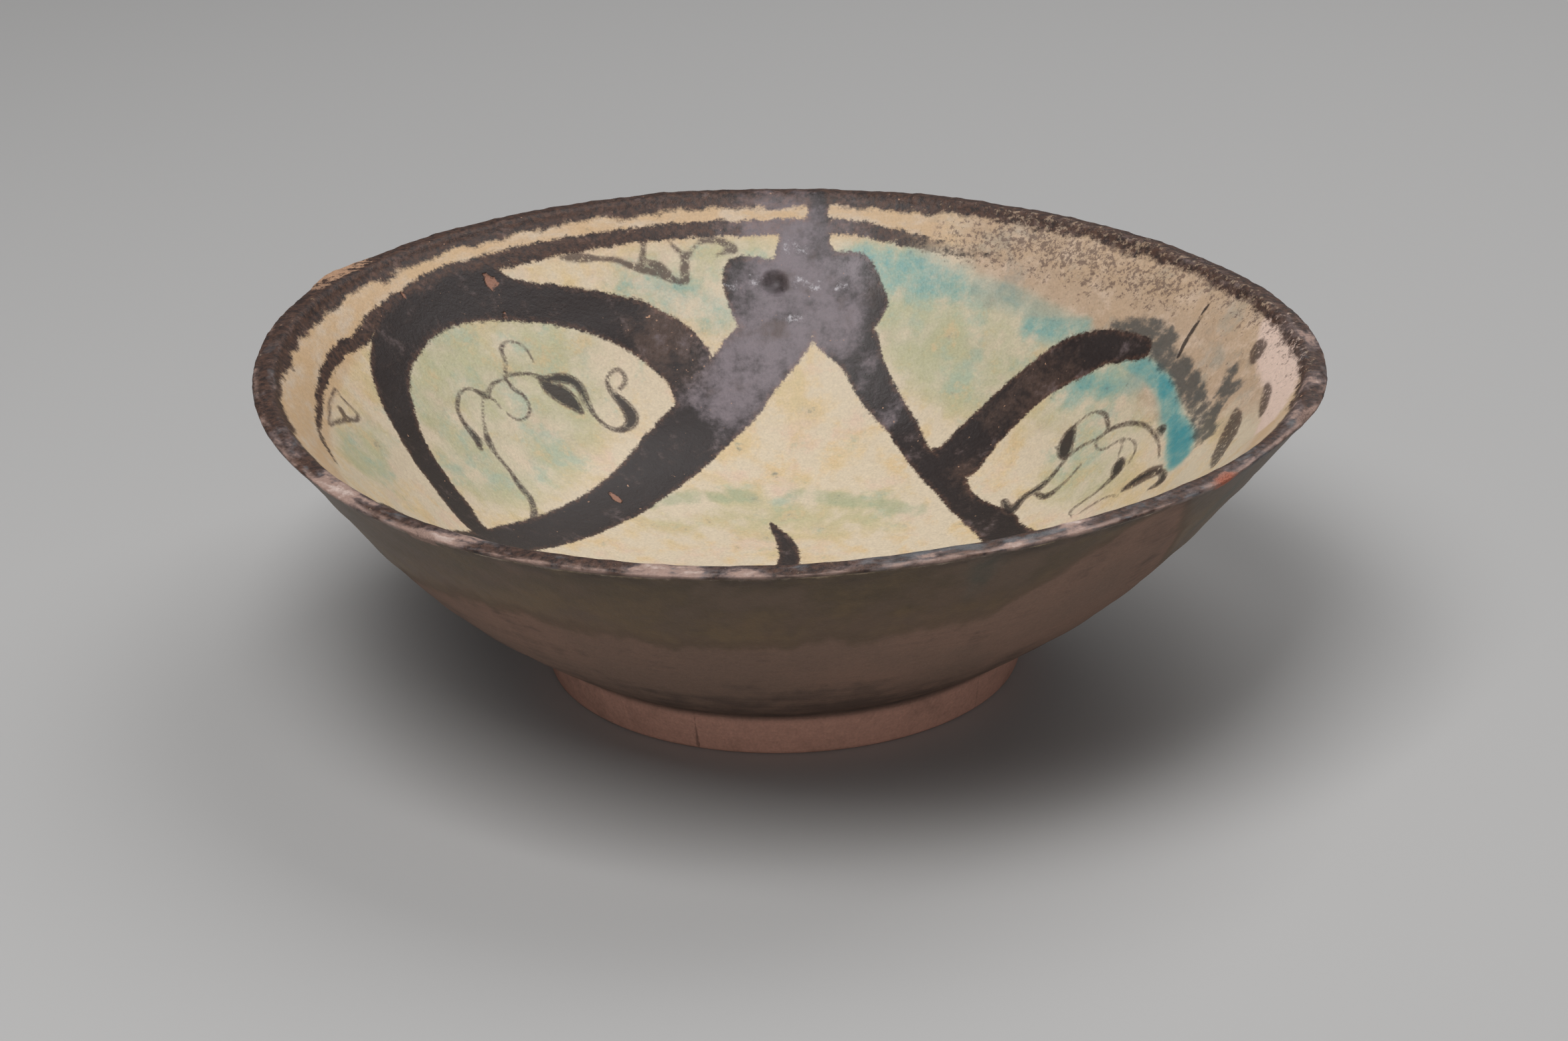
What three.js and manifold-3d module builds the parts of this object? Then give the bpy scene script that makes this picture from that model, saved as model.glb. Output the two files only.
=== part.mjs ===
// Glazed earthenware bowl: one thrown body with a flaring wall and a turned ring foot.
// Millimetres, +Z up. +X is the bowl's right seen from its front, and the front faces -Y.
// The origin is on the ground under the middle of the foot.
import * as THREE from "three";
import { mergeVertices } from "three/addons/utils/BufferGeometryUtils.js";
import Module from "manifold-3d";

// The thrown form. The rim sizes are to the outer corner of the lip.
const RIM_RADIUS = 101;
const HEIGHT = 61.5;
const BELLY = 0.4; // how far the wall swells out between foot and rim
const FLARE = 0.26; // how much flatter the wall leaves the foot and reaches the rim

// The ring foot, turned from the same clay.
const FOOT_RADIUS = 45.5; // at the ground
const FOOT_LEAN = 2; // how much wider the foot is where it meets the wall
const FOOT_HEIGHT = 9;
const FOOT_RING_WIDTH = 9;
const FOOT_RECESS = 5; // depth of the hollow inside the ring
const RECESS_LEAN = 2.5; // how much narrower that hollow is at its top

// Thicknesses. The wall's are level widths of the clay.
const FLOOR_THICKNESS = 8;
const WALL_WIDTH_AT_FOOT = 13;
const LIP_WIDTH = 4.4;
const LIP_RISE = 0.6; // the lip's inner edge stands this much above its outer corner
const FLOOR_ROUND = 14; // height over which the floor turns up into the wall

// Small roundings of the corners.
const FOOT_EDGE_ROUND = 1;
const FOOT_JOINT_ROUND = 1.5;
const RECESS_ROUND = 2;
const LIP_OUTER_ROUND = 0.9;
const LIP_INNER_ROUND = 1.4;

// The rim isn't true: it went out of round and out of level as it dried and was fired.
// Each wave has a number of lobes, a height of its crest, and the direction of one crest.
const OUT_OF_ROUND = [
  { lobes: 2, crest: 2.2, towards: 135 },
  { lobes: 3, crest: 1.4, towards: 0 },
];
const OUT_OF_LEVEL = [
  { lobes: 1, crest: 0.7, towards: 24 },
  { lobes: 2, crest: 0.4, towards: -28 },
  { lobes: 3, crest: 0.5, towards: 60 },
];

// Stretches of the lip that stand proud or are rubbed back, and how far below it they fade.
const LIP_SWELL = { towards: 150, halfAngle: 9, push: 1.7 };
const LIP_RUB = { towards: -31, halfAngle: 14, push: -1.2 };
const LIP_STRETCH_DEPTH = 9;

// Scoops knocked out of the lip's outer corner: a direction, half sizes along, across and down.
const LIP_CHIPS = [
  { towards: -22, halfLength: 4, halfWidth: 1.7, halfDrop: 1.8 },
  { towards: -41, halfLength: 2.6, halfWidth: 1.5, halfDrop: 1.5 },
  { towards: -128, halfLength: 2.4, halfWidth: 1.2, halfDrop: 1.2 },
];

// A round pit that a burst bubble left in the glaze and slip of the far wall.
const PIT = { towards: 92, height: 47, radius: 2.3, depth: 1.1 };

// Fineness of the mesh.
const STEPS_ROUND = 80;
const OUTER_WALL_STEPS = 13;
const INNER_WALL_STEPS = 10;
const FLOOR_STEPS = 7;
const CORNER_STEPS = 2;
const SCOOP_STEPS = 12;

const footTopRadius = FOOT_RADIUS + FOOT_LEAN;
const floorHeight = FOOT_RECESS + FLOOR_THICKNESS;
const floorRoundTop = floorHeight + FLOOR_ROUND;
const wallHeight = HEIGHT - FOOT_HEIGHT;

const degrees = THREE.MathUtils.degToRad;
const point = (radius, height) => new THREE.Vector2(radius, height);

// Share of the way up the wall, 0 at the foot and 1 at the rim.
const wallShare = (height) => (height - FOOT_HEIGHT) / wallHeight;

// Outer radius of the wall at a height: a straight cone with a swell and a flare added.
function outerRadius(height) {
  const t = wallShare(height);
  const swell = BELLY * t * (1 - t);
  const flare = FLARE * t * (1 - t) * (1 - 2 * t);
  return footTopRadius + (RIM_RADIUS - footTopRadius) * (t + swell + flare);
}

// Inner radius at a height: the clay narrows evenly from the foot to the lip.
function innerRadius(height) {
  const width = THREE.MathUtils.lerp(WALL_WIDTH_AT_FOOT, LIP_WIDTH, wallShare(height));
  return outerRadius(height) - width;
}

// Points of a wall between two heights, both ends included.
function wallPoints(radiusAt, from, to, steps) {
  return Array.from({ length: steps + 1 }, (_, i) => {
    const height = THREE.MathUtils.lerp(from, to, i / steps);
    return point(radiusAt(height), height);
  });
}

// A corner turned into a short curve that starts and ends its rounding away from the corner.
function roundCorner(before, corner, after, rounding) {
  const away = (other) => {
    const reach = Math.min(rounding, corner.distanceTo(other) / 2);
    return other.clone().sub(corner).setLength(reach).add(corner);
  };
  const curve = new THREE.QuadraticBezierCurve(away(before), corner, away(after));
  return curve.getPoints(CORNER_STEPS);
}

// The floor rises from the middle and meets the inner wall along the wall's own slope.
function floorPoints() {
  const slopeSpan = 0.1;
  const end = point(innerRadius(floorRoundTop), floorRoundTop);
  const radiusPerHeight =
    (innerRadius(floorRoundTop + slopeSpan) - innerRadius(floorRoundTop)) / slopeSpan;
  const bend = point(Math.max(end.x - radiusPerHeight * FLOOR_ROUND, end.x / 4), floorHeight);
  return new THREE.QuadraticBezierCurve(point(0, floorHeight), bend, end).getPoints(FLOOR_STEPS);
}

// Half section of the bowl, from the axis under the floor, round the foot and wall, to the axis above it.
function bowlProfile() {
  const recessTop = point(FOOT_RADIUS - FOOT_RING_WIDTH - RECESS_LEAN, FOOT_RECESS);
  const ringInside = point(FOOT_RADIUS - FOOT_RING_WIDTH, 0);
  const ringOutside = point(FOOT_RADIUS, 0);
  const joint = point(footTopRadius, FOOT_HEIGHT);
  const underside = point(0, FOOT_RECESS);
  const lipOuter = point(RIM_RADIUS, HEIGHT);
  const lipInner = point(RIM_RADIUS - LIP_WIDTH, HEIGHT + LIP_RISE);
  const outer = wallPoints(outerRadius, FOOT_HEIGHT, HEIGHT, OUTER_WALL_STEPS);
  const inner = wallPoints(innerRadius, floorRoundTop, HEIGHT, INNER_WALL_STEPS).reverse();
  return [
    underside,
    ...roundCorner(underside, recessTop, ringInside, RECESS_ROUND),
    ...roundCorner(recessTop, ringInside, ringOutside, FOOT_EDGE_ROUND),
    ...roundCorner(ringInside, ringOutside, joint, FOOT_EDGE_ROUND),
    ...roundCorner(ringOutside, joint, outer[1], FOOT_JOINT_ROUND),
    ...outer.slice(1, -1),
    ...roundCorner(outer.at(-2), lipOuter, lipInner, LIP_OUTER_ROUND),
    ...roundCorner(lipOuter, lipInner, inner[1], LIP_INNER_ROUND),
    ...inner.slice(1, -1),
    ...floorPoints().reverse(),
  ];
}

// Sum of the waves in one direction round the rim.
function waves(list, angle) {
  return list.reduce(
    (sum, wave) => sum + wave.crest * Math.cos(wave.lobes * (angle - degrees(wave.towards))),
    0,
  );
}

// How strongly a direction falls within a stretch of the lip, from 0 at its ends to 1 in its middle.
function withinStretch(stretch, angle) {
  const turn = angle - degrees(stretch.towards);
  const apart = Math.abs(Math.atan2(Math.sin(turn), Math.cos(turn)));
  const share = Math.max(0, 1 - apart / degrees(stretch.halfAngle));
  return THREE.MathUtils.smoothstep(share, 0, 1);
}

// Moves a point of the true thrown form to where it is on the fired bowl. The foot stays true.
function settle(p) {
  const radius = Math.hypot(p.x, p.y);
  const angle = Math.atan2(p.y, p.x);
  const up = Math.max(0, wallShare(p.z)) * (radius / RIM_RADIUS);
  const nearLip = THREE.MathUtils.smoothstep(p.z, HEIGHT - LIP_STRETCH_DEPTH, HEIGHT);
  const outside = radius > innerRadius(p.z) + LIP_WIDTH / 2 ? 1 : 0;
  const stretches = [LIP_SWELL, LIP_RUB].reduce(
    (sum, stretch) => sum + stretch.push * withinStretch(stretch, angle),
    0,
  );
  const push = up * waves(OUT_OF_ROUND, angle) + nearLip * outside * stretches;
  const settled = radius + push;
  return new THREE.Vector3(
    settled * Math.cos(angle),
    settled * Math.sin(angle),
    p.z + up * waves(OUT_OF_LEVEL, angle),
  );
}

// The point of the settled bowl at a radius and height of the true form, in a direction in degrees.
function settledPoint(towards, radius, height) {
  const angle = degrees(towards);
  return settle(new THREE.Vector3(radius * Math.cos(angle), radius * Math.sin(angle), height));
}

function bowlBody() {
  const geometry = new THREE.LatheGeometry(bowlProfile(), STEPS_ROUND);
  geometry.rotateX(Math.PI / 2);
  const positions = geometry.getAttribute("position");
  const vertex = new THREE.Vector3();
  for (let i = 0; i < positions.count; i++) {
    vertex.fromBufferAttribute(positions, i);
    positions.setXYZ(i, ...settle(vertex));
  }
  return geometry;
}

// An egg-shaped scoop, long round the rim, that a chip leaves behind.
function chipScoop(chip) {
  const geometry = new THREE.SphereGeometry(1, SCOOP_STEPS, SCOOP_STEPS);
  geometry.scale(chip.halfWidth, chip.halfLength, chip.halfDrop);
  geometry.rotateZ(degrees(chip.towards));
  const centre = settledPoint(chip.towards, RIM_RADIUS, HEIGHT);
  return geometry.translate(centre.x, centre.y, centre.z);
}

// A ball that reaches the pit's depth into the inner wall and is the pit's width at the surface.
function pitScoop(pit) {
  const ball = (pit.radius * pit.radius + pit.depth * pit.depth) / (2 * pit.depth);
  const surface = settledPoint(pit.towards, innerRadius(pit.height), pit.height);
  const slopeSpan = 0.1;
  const above = settledPoint(pit.towards, innerRadius(pit.height + slopeSpan), pit.height + slopeSpan);
  const upWall = above.sub(surface).normalize();
  const round = new THREE.Vector3(-Math.sin(degrees(pit.towards)), Math.cos(degrees(pit.towards)), 0);
  const inwards = new THREE.Vector3().crossVectors(round, upWall).normalize();
  if (inwards.z < 0) inwards.negate();
  const centre = surface.clone().addScaledVector(inwards, ball - pit.depth);
  const geometry = new THREE.SphereGeometry(ball, 2 * SCOOP_STEPS, 2 * SCOOP_STEPS);
  return geometry.translate(centre.x, centre.y, centre.z);
}

const wasm = await Module();
wasm.setup();

// A closed geometry as a manifold solid, with only its positions kept and shared vertices merged.
function toSolid(geometry) {
  const bare = geometry.clone();
  bare.deleteAttribute("normal");
  bare.deleteAttribute("uv");
  const merged = mergeVertices(bare, 1e-4);
  return new wasm.Manifold(
    new wasm.Mesh({
      numProp: 3,
      vertProperties: new Float32Array(merged.getAttribute("position").array),
      triVerts: new Uint32Array(merged.index.array),
    }),
  );
}

function toGeometry(solid) {
  const { vertProperties, triVerts } = solid.getMesh();
  const geometry = new THREE.BufferGeometry();
  geometry.setAttribute("position", new THREE.BufferAttribute(vertProperties, 3));
  geometry.setIndex(new THREE.BufferAttribute(triVerts, 1));
  geometry.computeVertexNormals();
  return geometry;
}

// The thrown and fired body with its chips and its pit cut away.
function chippedBowl() {
  const scoops = [...LIP_CHIPS.map(chipScoop), pitScoop(PIT)];
  const whole = toSolid(bowlBody());
  return toGeometry(scoops.reduce((solid, scoop) => solid.subtract(toSolid(scoop)), whole));
}

const glazedEarthenware = new THREE.MeshStandardMaterial({
  color: 0xcdbe8c,
  roughness: 0.35,
  metalness: 0,
});

const bowl = new THREE.Mesh(chippedBowl(), glazedEarthenware);
bowl.name = "bowl";

const glazedBowl = new THREE.Group();
glazedBowl.name = "glazed_bowl";
glazedBowl.add(bowl);

export default glazedBowl;
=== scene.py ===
# %% [markdown]
# # A worn painted bowl, made in Blender
# The real object is one thrown piece of earthenware, about 20 cm across. Its inside was covered with
# a pale slip, painted with broad dark straps and thin scrolls, and glazed; its outside is half bare.
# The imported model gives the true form. This script makes one finer surface in the same place and
# paints it by arithmetic on distances, so every stroke is a short list of places that can be moved.

# %% Load the frame
import math

import bpy
import numpy as np
from mathutils import Matrix, Vector


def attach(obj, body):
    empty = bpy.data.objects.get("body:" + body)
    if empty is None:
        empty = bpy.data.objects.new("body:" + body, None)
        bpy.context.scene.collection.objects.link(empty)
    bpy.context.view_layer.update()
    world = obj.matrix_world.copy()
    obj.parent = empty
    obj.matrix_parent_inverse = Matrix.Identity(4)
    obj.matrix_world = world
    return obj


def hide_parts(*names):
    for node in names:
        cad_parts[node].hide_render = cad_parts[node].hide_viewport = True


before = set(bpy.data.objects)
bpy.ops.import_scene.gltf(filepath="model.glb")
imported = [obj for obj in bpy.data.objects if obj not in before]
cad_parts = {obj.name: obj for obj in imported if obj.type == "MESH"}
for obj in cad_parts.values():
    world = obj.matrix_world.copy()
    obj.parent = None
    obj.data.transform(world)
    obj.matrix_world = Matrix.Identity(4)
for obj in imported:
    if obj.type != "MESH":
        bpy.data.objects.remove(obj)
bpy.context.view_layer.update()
MM = 0.001

# %% [markdown]
# ## Sizes
# All lengths are millimetres, as a potter would measure them, and become metres at the very end.
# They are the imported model's own values: a wall that swells and flares between the ring foot and the
# rim, and a floor that turns up into it. Only three of the corners' roundings and the pit differ a
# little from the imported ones, because this finer surface can follow the real ones more closely.

# %% Sizes of the thrown form
RIM_RADIUS = 101.0
HEIGHT = 61.5
BELLY = 0.4
FLARE = 0.26
FOOT_RADIUS = 45.5
FOOT_LEAN = 2.0
FOOT_HEIGHT = 9.0
FOOT_RING_WIDTH = 9.0
FOOT_RECESS = 5.0
RECESS_LEAN = 2.5
FLOOR_THICKNESS = 8.0
WALL_WIDTH_AT_FOOT = 13.0
LIP_WIDTH = 4.4
LIP_RISE = 0.6
FLOOR_ROUND = 14.0
FOOT_TOP_RADIUS = FOOT_RADIUS + FOOT_LEAN
FLOOR_HEIGHT = FOOT_RECESS + FLOOR_THICKNESS
FLOOR_ROUND_TOP = FLOOR_HEIGHT + FLOOR_ROUND
# How far each corner is eased along both of its sides.
LIP_INNER_ROUND = 1.3
LIP_OUTER_ROUND = 1.1
FOOT_JOINT_ROUND = 1.2
FOOT_EDGE_ROUND = 1.0
RECESS_ROUND = 2.0
print("floor stands", FLOOR_HEIGHT, "mm above the ground and turns into the wall at", FLOOR_ROUND_TOP)

# %% [markdown]
# The rim dried and fired out of true. Each wave has a number of lobes, the height of its crest and
# the direction of one crest in degrees, counted from the bowl's right towards its back.

# %% How the form went out of true
OUT_OF_ROUND = [(2, 2.2, 135), (3, 1.4, 0)]
OUT_OF_LEVEL = [(1, 0.7, 24), (2, 0.4, -28), (3, 0.5, 60)]
# Stretches of the lip that stand proud or are rubbed back: direction, half angle and push.
LIP_STRETCHES = [(150, 9, 1.7), (-31, 14, -1.2)]
LIP_STRETCH_DEPTH = 9.0
# Chips in the lip's outer corner: direction, half length, half width and half drop.
LIP_CHIPS = [(-22, 4, 1.7, 1.8), (-41, 2.6, 1.5, 1.5), (-128, 2.4, 1.2, 1.2)]
# The pit of a burst bubble in the far wall: direction, height, radius and depth.
PIT = (90.4, 46.5, 2.7, 1.2)
print("chips", len(LIP_CHIPS), "stretches", len(LIP_STRETCHES))

# %% [markdown]
# Two helpers serve the whole script: an eased step, which gives every soft edge, and the angle between
# two directions, which places things round the rim without a jump where the degrees start again.


# %% Eased steps and directions
def smooth(low, high, value):
    """A share that eases from 0 at low to 1 at high: 3 s squared minus 2 s cubed."""
    share = np.clip((value - low) / (high - low), 0, 1)
    return share * share * (3 - 2 * share)


def turned_apart(angle, towards):
    """The least turn between an angle in radians and a direction in degrees, without its sign."""
    turn = angle - math.radians(towards)
    return np.abs(np.arctan2(np.sin(turn), np.cos(turn)))


print("half way", float(smooth(0, 2, 1.0)), "and a turn of", float(turned_apart(math.pi, -179).round(4)))

# %% [markdown]
# ## The form
# A thrown bowl is a profile turned about an axis, so its surface is a grid of profile rows and of
# directions. The wall's radius is a straight cone plus two small polynomials; corners are short
# curves of second degree. Working on whole arrays keeps this quick even with many thousand points.

# %% The profile as radius and height
def wall_share(height):
    """Share of the way up the wall, 0 at the foot's joint and 1 at the rim."""
    return (height - FOOT_HEIGHT) / (HEIGHT - FOOT_HEIGHT)


def outer_radius(height):
    """A cone from foot to rim, with a swell t(1-t) and a flare t(1-t)(1-2t) added."""
    t = wall_share(height)
    swell = BELLY * t * (1 - t)
    flare = FLARE * t * (1 - t) * (1 - 2 * t)
    return FOOT_TOP_RADIUS + (RIM_RADIUS - FOOT_TOP_RADIUS) * (t + swell + flare)


def inner_radius(height):
    """The outer radius less the clay's level width, which narrows evenly towards the lip."""
    narrowing = (WALL_WIDTH_AT_FOOT - LIP_WIDTH) * wall_share(height)
    return outer_radius(height) - WALL_WIDTH_AT_FOOT + narrowing


print("wall at 40 mm up runs from", round(inner_radius(40.0), 1), "to", round(outer_radius(40.0), 1), "mm")


# %% Curves of the profile
def bend(start, corner, end, steps):
    """A curve of second degree from start to end that leans towards corner."""
    t = np.linspace(0, 1, steps + 1)[:, None]
    start, corner, end = map(np.array, (start, corner, end))
    return (1 - t) ** 2 * start + 2 * t * (1 - t) * corner + t ** 2 * end


def rounded(before, corner, after, rounding, steps=4):
    """A corner eased over the length rounding on both of its sides."""
    before, corner, after = map(np.array, (before, corner, after))
    start = corner + (before - corner) * rounding / np.linalg.norm(before - corner)
    end = corner + (after - corner) * rounding / np.linalg.norm(after - corner)
    return bend(start, corner, end, steps)


def spaced(points, spacing):
    """The same line with its points spread evenly, about spacing apart."""
    lengths = np.concatenate([[0], np.cumsum(np.linalg.norm(np.diff(points, axis=0), axis=1))])
    count = max(1, round(lengths[-1] / spacing))
    at = np.linspace(0, lengths[-1], count + 1)
    return np.stack([np.interp(at, lengths, points[:, k]) for k in (0, 1)], 1)


def inside_line():
    """From the middle of the floor up the inner wall to the foot of the lip's inner rounding."""
    slope = (inner_radius(FLOOR_ROUND_TOP + 0.1) - inner_radius(FLOOR_ROUND_TOP)) / 0.1
    top = (inner_radius(FLOOR_ROUND_TOP), FLOOR_ROUND_TOP)
    floor = bend((0, FLOOR_HEIGHT), (top[0] - slope * FLOOR_ROUND, FLOOR_HEIGHT), top, 60)
    heights = np.linspace(FLOOR_ROUND_TOP, HEIGHT - 0.9, 60)[1:]
    wall = np.stack([inner_radius(heights), heights], 1)
    return np.vstack([floor, wall])


inside = inside_line()
print("inside line ends at", inside[-1].round(1))

# %% [markdown]
# The painted inside needs small cells, about 0.65 mm, because the finest brush strokes are 1 mm wide.
# The outside is plainer and gets longer cells, which keeps the whole surface under 200,000 triangles.

# %% Rows of the grid
FINE_ROW = 0.66
COARSE_ROW = 1.5
OUTSIDE_ROW = 2.3
FINE_FROM = 36.0
middle = inside[inside[:, 0] <= FINE_FROM]
beyond = inside[inside[:, 0] >= middle[-1, 0]]
lip_inner = (RIM_RADIUS - LIP_WIDTH, HEIGHT + LIP_RISE)
lip_outer = (RIM_RADIUS, HEIGHT)
outer_heights = np.linspace(FOOT_HEIGHT, HEIGHT, 120)
outer_wall = np.stack([outer_radius(outer_heights), outer_heights], 1)[::-1]
joint = (FOOT_TOP_RADIUS, FOOT_HEIGHT)
ring_outside = (FOOT_RADIUS, 0.0)
ring_inside = (FOOT_RADIUS - FOOT_RING_WIDTH, 0.0)
recess_top = (FOOT_RADIUS - FOOT_RING_WIDTH - RECESS_LEAN, FOOT_RECESS)
parts = [
    spaced(middle, COARSE_ROW)[1:],
    spaced(beyond, FINE_ROW)[1:],
    rounded(inside[-1], lip_inner, lip_outer, LIP_INNER_ROUND, 5),
    rounded(lip_inner, lip_outer, outer_wall[8], LIP_OUTER_ROUND, 5),
    spaced(outer_wall[3:-4], OUTSIDE_ROW),
    rounded(outer_wall[-6], joint, ring_outside, FOOT_JOINT_ROUND, 3),
    rounded(joint, ring_outside, ring_inside, FOOT_EDGE_ROUND, 3),
    rounded(ring_outside, ring_inside, recess_top, FOOT_EDGE_ROUND, 3),
    rounded(ring_inside, recess_top, (0, FOOT_RECESS), RECESS_ROUND, 3),
    np.array([(r, FOOT_RECESS) for r in (24.0, 15.0, 7.0)]),
]
profile = np.vstack(parts)
INSIDE_ROWS = sum(len(p) for p in parts[:2])
LIP_ROWS = sum(len(p) for p in parts[:4])
print("profile rows", len(profile), "of them inside", INSIDE_ROWS)

# %% [markdown]
# Columns are closer on the far side, whose inside is seen, and wider apart on the near side.

# %% Columns of the grid
FAR_COLUMNS = 396
NEAR_COLUMNS = 96
FAR_FROM, FAR_TO = math.radians(-27), math.radians(207)
near_turn = 2 * math.pi - (FAR_TO - FAR_FROM)
directions = np.concatenate([
    FAR_FROM + (FAR_TO - FAR_FROM) * np.arange(FAR_COLUMNS) / FAR_COLUMNS,
    FAR_TO + near_turn * np.arange(NEAR_COLUMNS) / NEAR_COLUMNS,
])
true_radius = np.repeat(profile[:, :1], len(directions), 1)
true_height = np.repeat(profile[:, 1:], len(directions), 1)
angle = np.repeat(directions[None], len(profile), 0)
row = np.repeat(np.arange(len(profile))[:, None], len(directions), 1)
print("grid", angle.shape, "triangles about", 2 * angle.size)


# %% [markdown]
# ## Out of true, chipped and hand-made
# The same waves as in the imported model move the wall. On top of them come things too small for it:
# throwing rings, a lip that was worn to little dips and bumps, and scoops where chips came off.

# %% Small unevenness
def ripple(coordinate, lengths, height, seed):
    """A sum of sines of the given wave lengths with random phases, about height high."""
    phases = np.random.default_rng(seed).uniform(0, 2 * math.pi, len(lengths))
    waves = [np.sin(2 * math.pi * coordinate / length + phase) for length, phase in zip(lengths, phases)]
    return height * sum(waves) / math.sqrt(len(lengths))


def wave_sum(waves, direction):
    """The sum of crest times the cosine of lobes times the turn from the crest's direction."""
    return sum(crest * np.cos(lobes * (direction - math.radians(towards)))
               for lobes, crest, towards in waves)


def settle(radius, height, direction, outside):
    """The true form's points moved by the waves, in proportion to their place on the wall."""
    up = np.maximum(0, wall_share(height)) * radius / RIM_RADIUS
    stretch = sum(push * smooth(0, 1, 1 - turned_apart(direction, towards) / math.radians(half))
                  for towards, half, push in LIP_STRETCHES)
    near_lip = smooth(HEIGHT - LIP_STRETCH_DEPTH, HEIGHT, height)
    settled = radius + up * wave_sum(OUT_OF_ROUND, direction) + near_lip * outside * stretch
    raised = height + up * wave_sum(OUT_OF_LEVEL, direction)
    return np.stack([settled * np.cos(direction), settled * np.sin(direction), raised], -1)


def normals_of(points):
    """Unit normals of a closed grid: the cross product of the steps along its rows and columns."""
    along = np.gradient(points, axis=0)
    around = np.roll(points, -1, 1) - np.roll(points, 1, 1)
    normal = np.cross(along, around)
    return normal / np.maximum(np.linalg.norm(normal, axis=-1, keepdims=True), 1e-9)


middle_of_wall = inner_radius(np.maximum(true_height, FOOT_HEIGHT)) + LIP_WIDTH / 2
outside = (true_radius > middle_of_wall) | (row >= LIP_ROWS)
points = settle(true_radius, true_height, angle, outside)
normal = normals_of(points)
print("highest point of the warped form", points[..., 2].max().round(1))

# %% Rings and wear
arc = RIM_RADIUS * angle
LIP_MIDDLE_ROW = INSIDE_ROWS + 5.5
LIP_WEAR = 0.25
on_lip = np.exp(-((row - LIP_MIDDLE_ROW) / 4.0) ** 2)
wear = ripple(arc, [3.1, 4.7, 7.3, 11.9, 17.0], 0.16, 5) + ripple(arc, [29.0, 53.0, 81.0], 0.2, 6)
outer_rings = ripple(true_height, [3.4, 5.3, 8.9, 13.0], 0.09, 7) * smooth(FOOT_HEIGHT, 14, true_height)
inner_rings = ripple(true_radius, [7.7, 12.3, 19.0], 0.07, 8) * smooth(5, 25, true_radius)
uneven = np.where(row < INSIDE_ROWS, inner_rings, outer_rings)
outer_wall_only = (true_height > FOOT_HEIGHT) & (row >= LIP_ROWS)
uneven = uneven + 0.12 * np.sin(3 * angle + true_height / 9) * outer_wall_only
points += normal * (uneven * (1 - on_lip) - (LIP_WEAR + wear) * on_lip * 0.7)[..., None]
print("rings up to", np.abs(uneven).max().round(2), "mm, lip's wear up to", (LIP_WEAR + wear).max().round(2))


# %% Chips and the pit
def settled_at(towards, radius, height, outside):
    """The settled place of one point of the true form."""
    return settle(np.float64(radius), np.float64(height), np.float64(math.radians(towards)), outside)


def scoop(points, centre, half_sizes, towards, reach=1.15, ease=0.25):
    """Points inside an egg-shaped hollow move inwards and down. In the hollow's own axes divided by its
    half sizes, a point moves by 0.9 times what it lacks to the reach, and keeps a share called ease."""
    turn = math.radians(towards)
    across = np.array([math.cos(turn), math.sin(turn), 0])
    along = np.array([-math.sin(turn), math.cos(turn), 0])
    axes = np.stack([along, across, [0, 0, 1]])
    local = (points - centre) @ axes.T / np.array(half_sizes)
    distance = np.linalg.norm(local, axis=-1, keepdims=True)
    inwards = local - np.array([0, 1, 1]) * np.clip(reach - distance, 0, 1) * 0.9
    moved = inwards * np.array(half_sizes) @ axes + centre
    return np.where(distance < reach, points * ease + moved * (1 - ease), points)


for towards, length, width, drop in LIP_CHIPS:
    points = scoop(points, settled_at(towards, RIM_RADIUS, HEIGHT, 1), (length, width, drop), towards)

pit_towards, pit_height, pit_radius, pit_depth = PIT
pit_place = settled_at(pit_towards, inner_radius(pit_height), pit_height, 0)
from_pit = np.linalg.norm(points - pit_place, axis=-1)
hollow = pit_depth * (1 - smooth(0, pit_radius * 1.15, from_pit))
collar = 0.18 * np.exp(-((from_pit - pit_radius * 1.3) / 0.8) ** 2)
points += normal * ((collar - hollow) * (row < INSIDE_ROWS))[..., None]
print("lowest and highest", points[..., 2].min().round(2), points[..., 2].max().round(2))

# %% [markdown]
# ## The painting as distances
# The design is an interlace with three-fold symmetry: three straps make a triangle, their knots touch
# the rim, and a leaf-shaped loop stands outside each strap. Every painted area is stored on the
# surface as a distance to its edge, negative under the paint, so the material can draw a brush edge
# at any sharpness and roughen it with noise. Places are given in plan, as millimetres to the bowl's
# right and to its back. The far part shows from the front; the near part repeats it.


# %% Tools for outlines
def curved(points, closed=True, steps=6):
    """A smooth line through the points: between two of them a cubic that leaves and arrives along
    half the step between each point's neighbours."""
    points = np.array(points, float)
    if closed:
        before, start, end, after = [np.roll(points, shift, 0) for shift in (1, 0, -1, -2)]
    else:
        ends = np.vstack([2 * points[0] - points[1], points, 2 * points[-1] - points[-2]])
        before, start, end, after = ends[:-3], ends[1:-2], ends[2:-1], ends[3:]
    t = np.linspace(0, 1, steps, endpoint=False)[:, None, None]
    leave, arrive = (end - before) / 2, (after - start) / 2
    line = (start * (2 * t ** 3 - 3 * t ** 2 + 1) + leave * (t ** 3 - 2 * t ** 2 + t)
            + end * (3 * t ** 2 - 2 * t ** 3) + arrive * (t ** 3 - t ** 2))
    line = line.transpose(1, 0, 2).reshape(-1, points.shape[1])
    return line if closed else np.vstack([line, points[-1:]])


def pieces_apart(places, starts, ends):
    """For every place and every straight piece: the distance, and how far along the nearest point is."""
    step = ends - starts
    span = np.maximum((step ** 2).sum(-1), 1e-12)
    offset = places[:, None] - starts[None]
    share = np.clip((offset * step).sum(-1) / span, 0, 1)
    apart = np.linalg.norm(offset - share[..., None] * step, axis=-1)
    return apart, share


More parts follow.
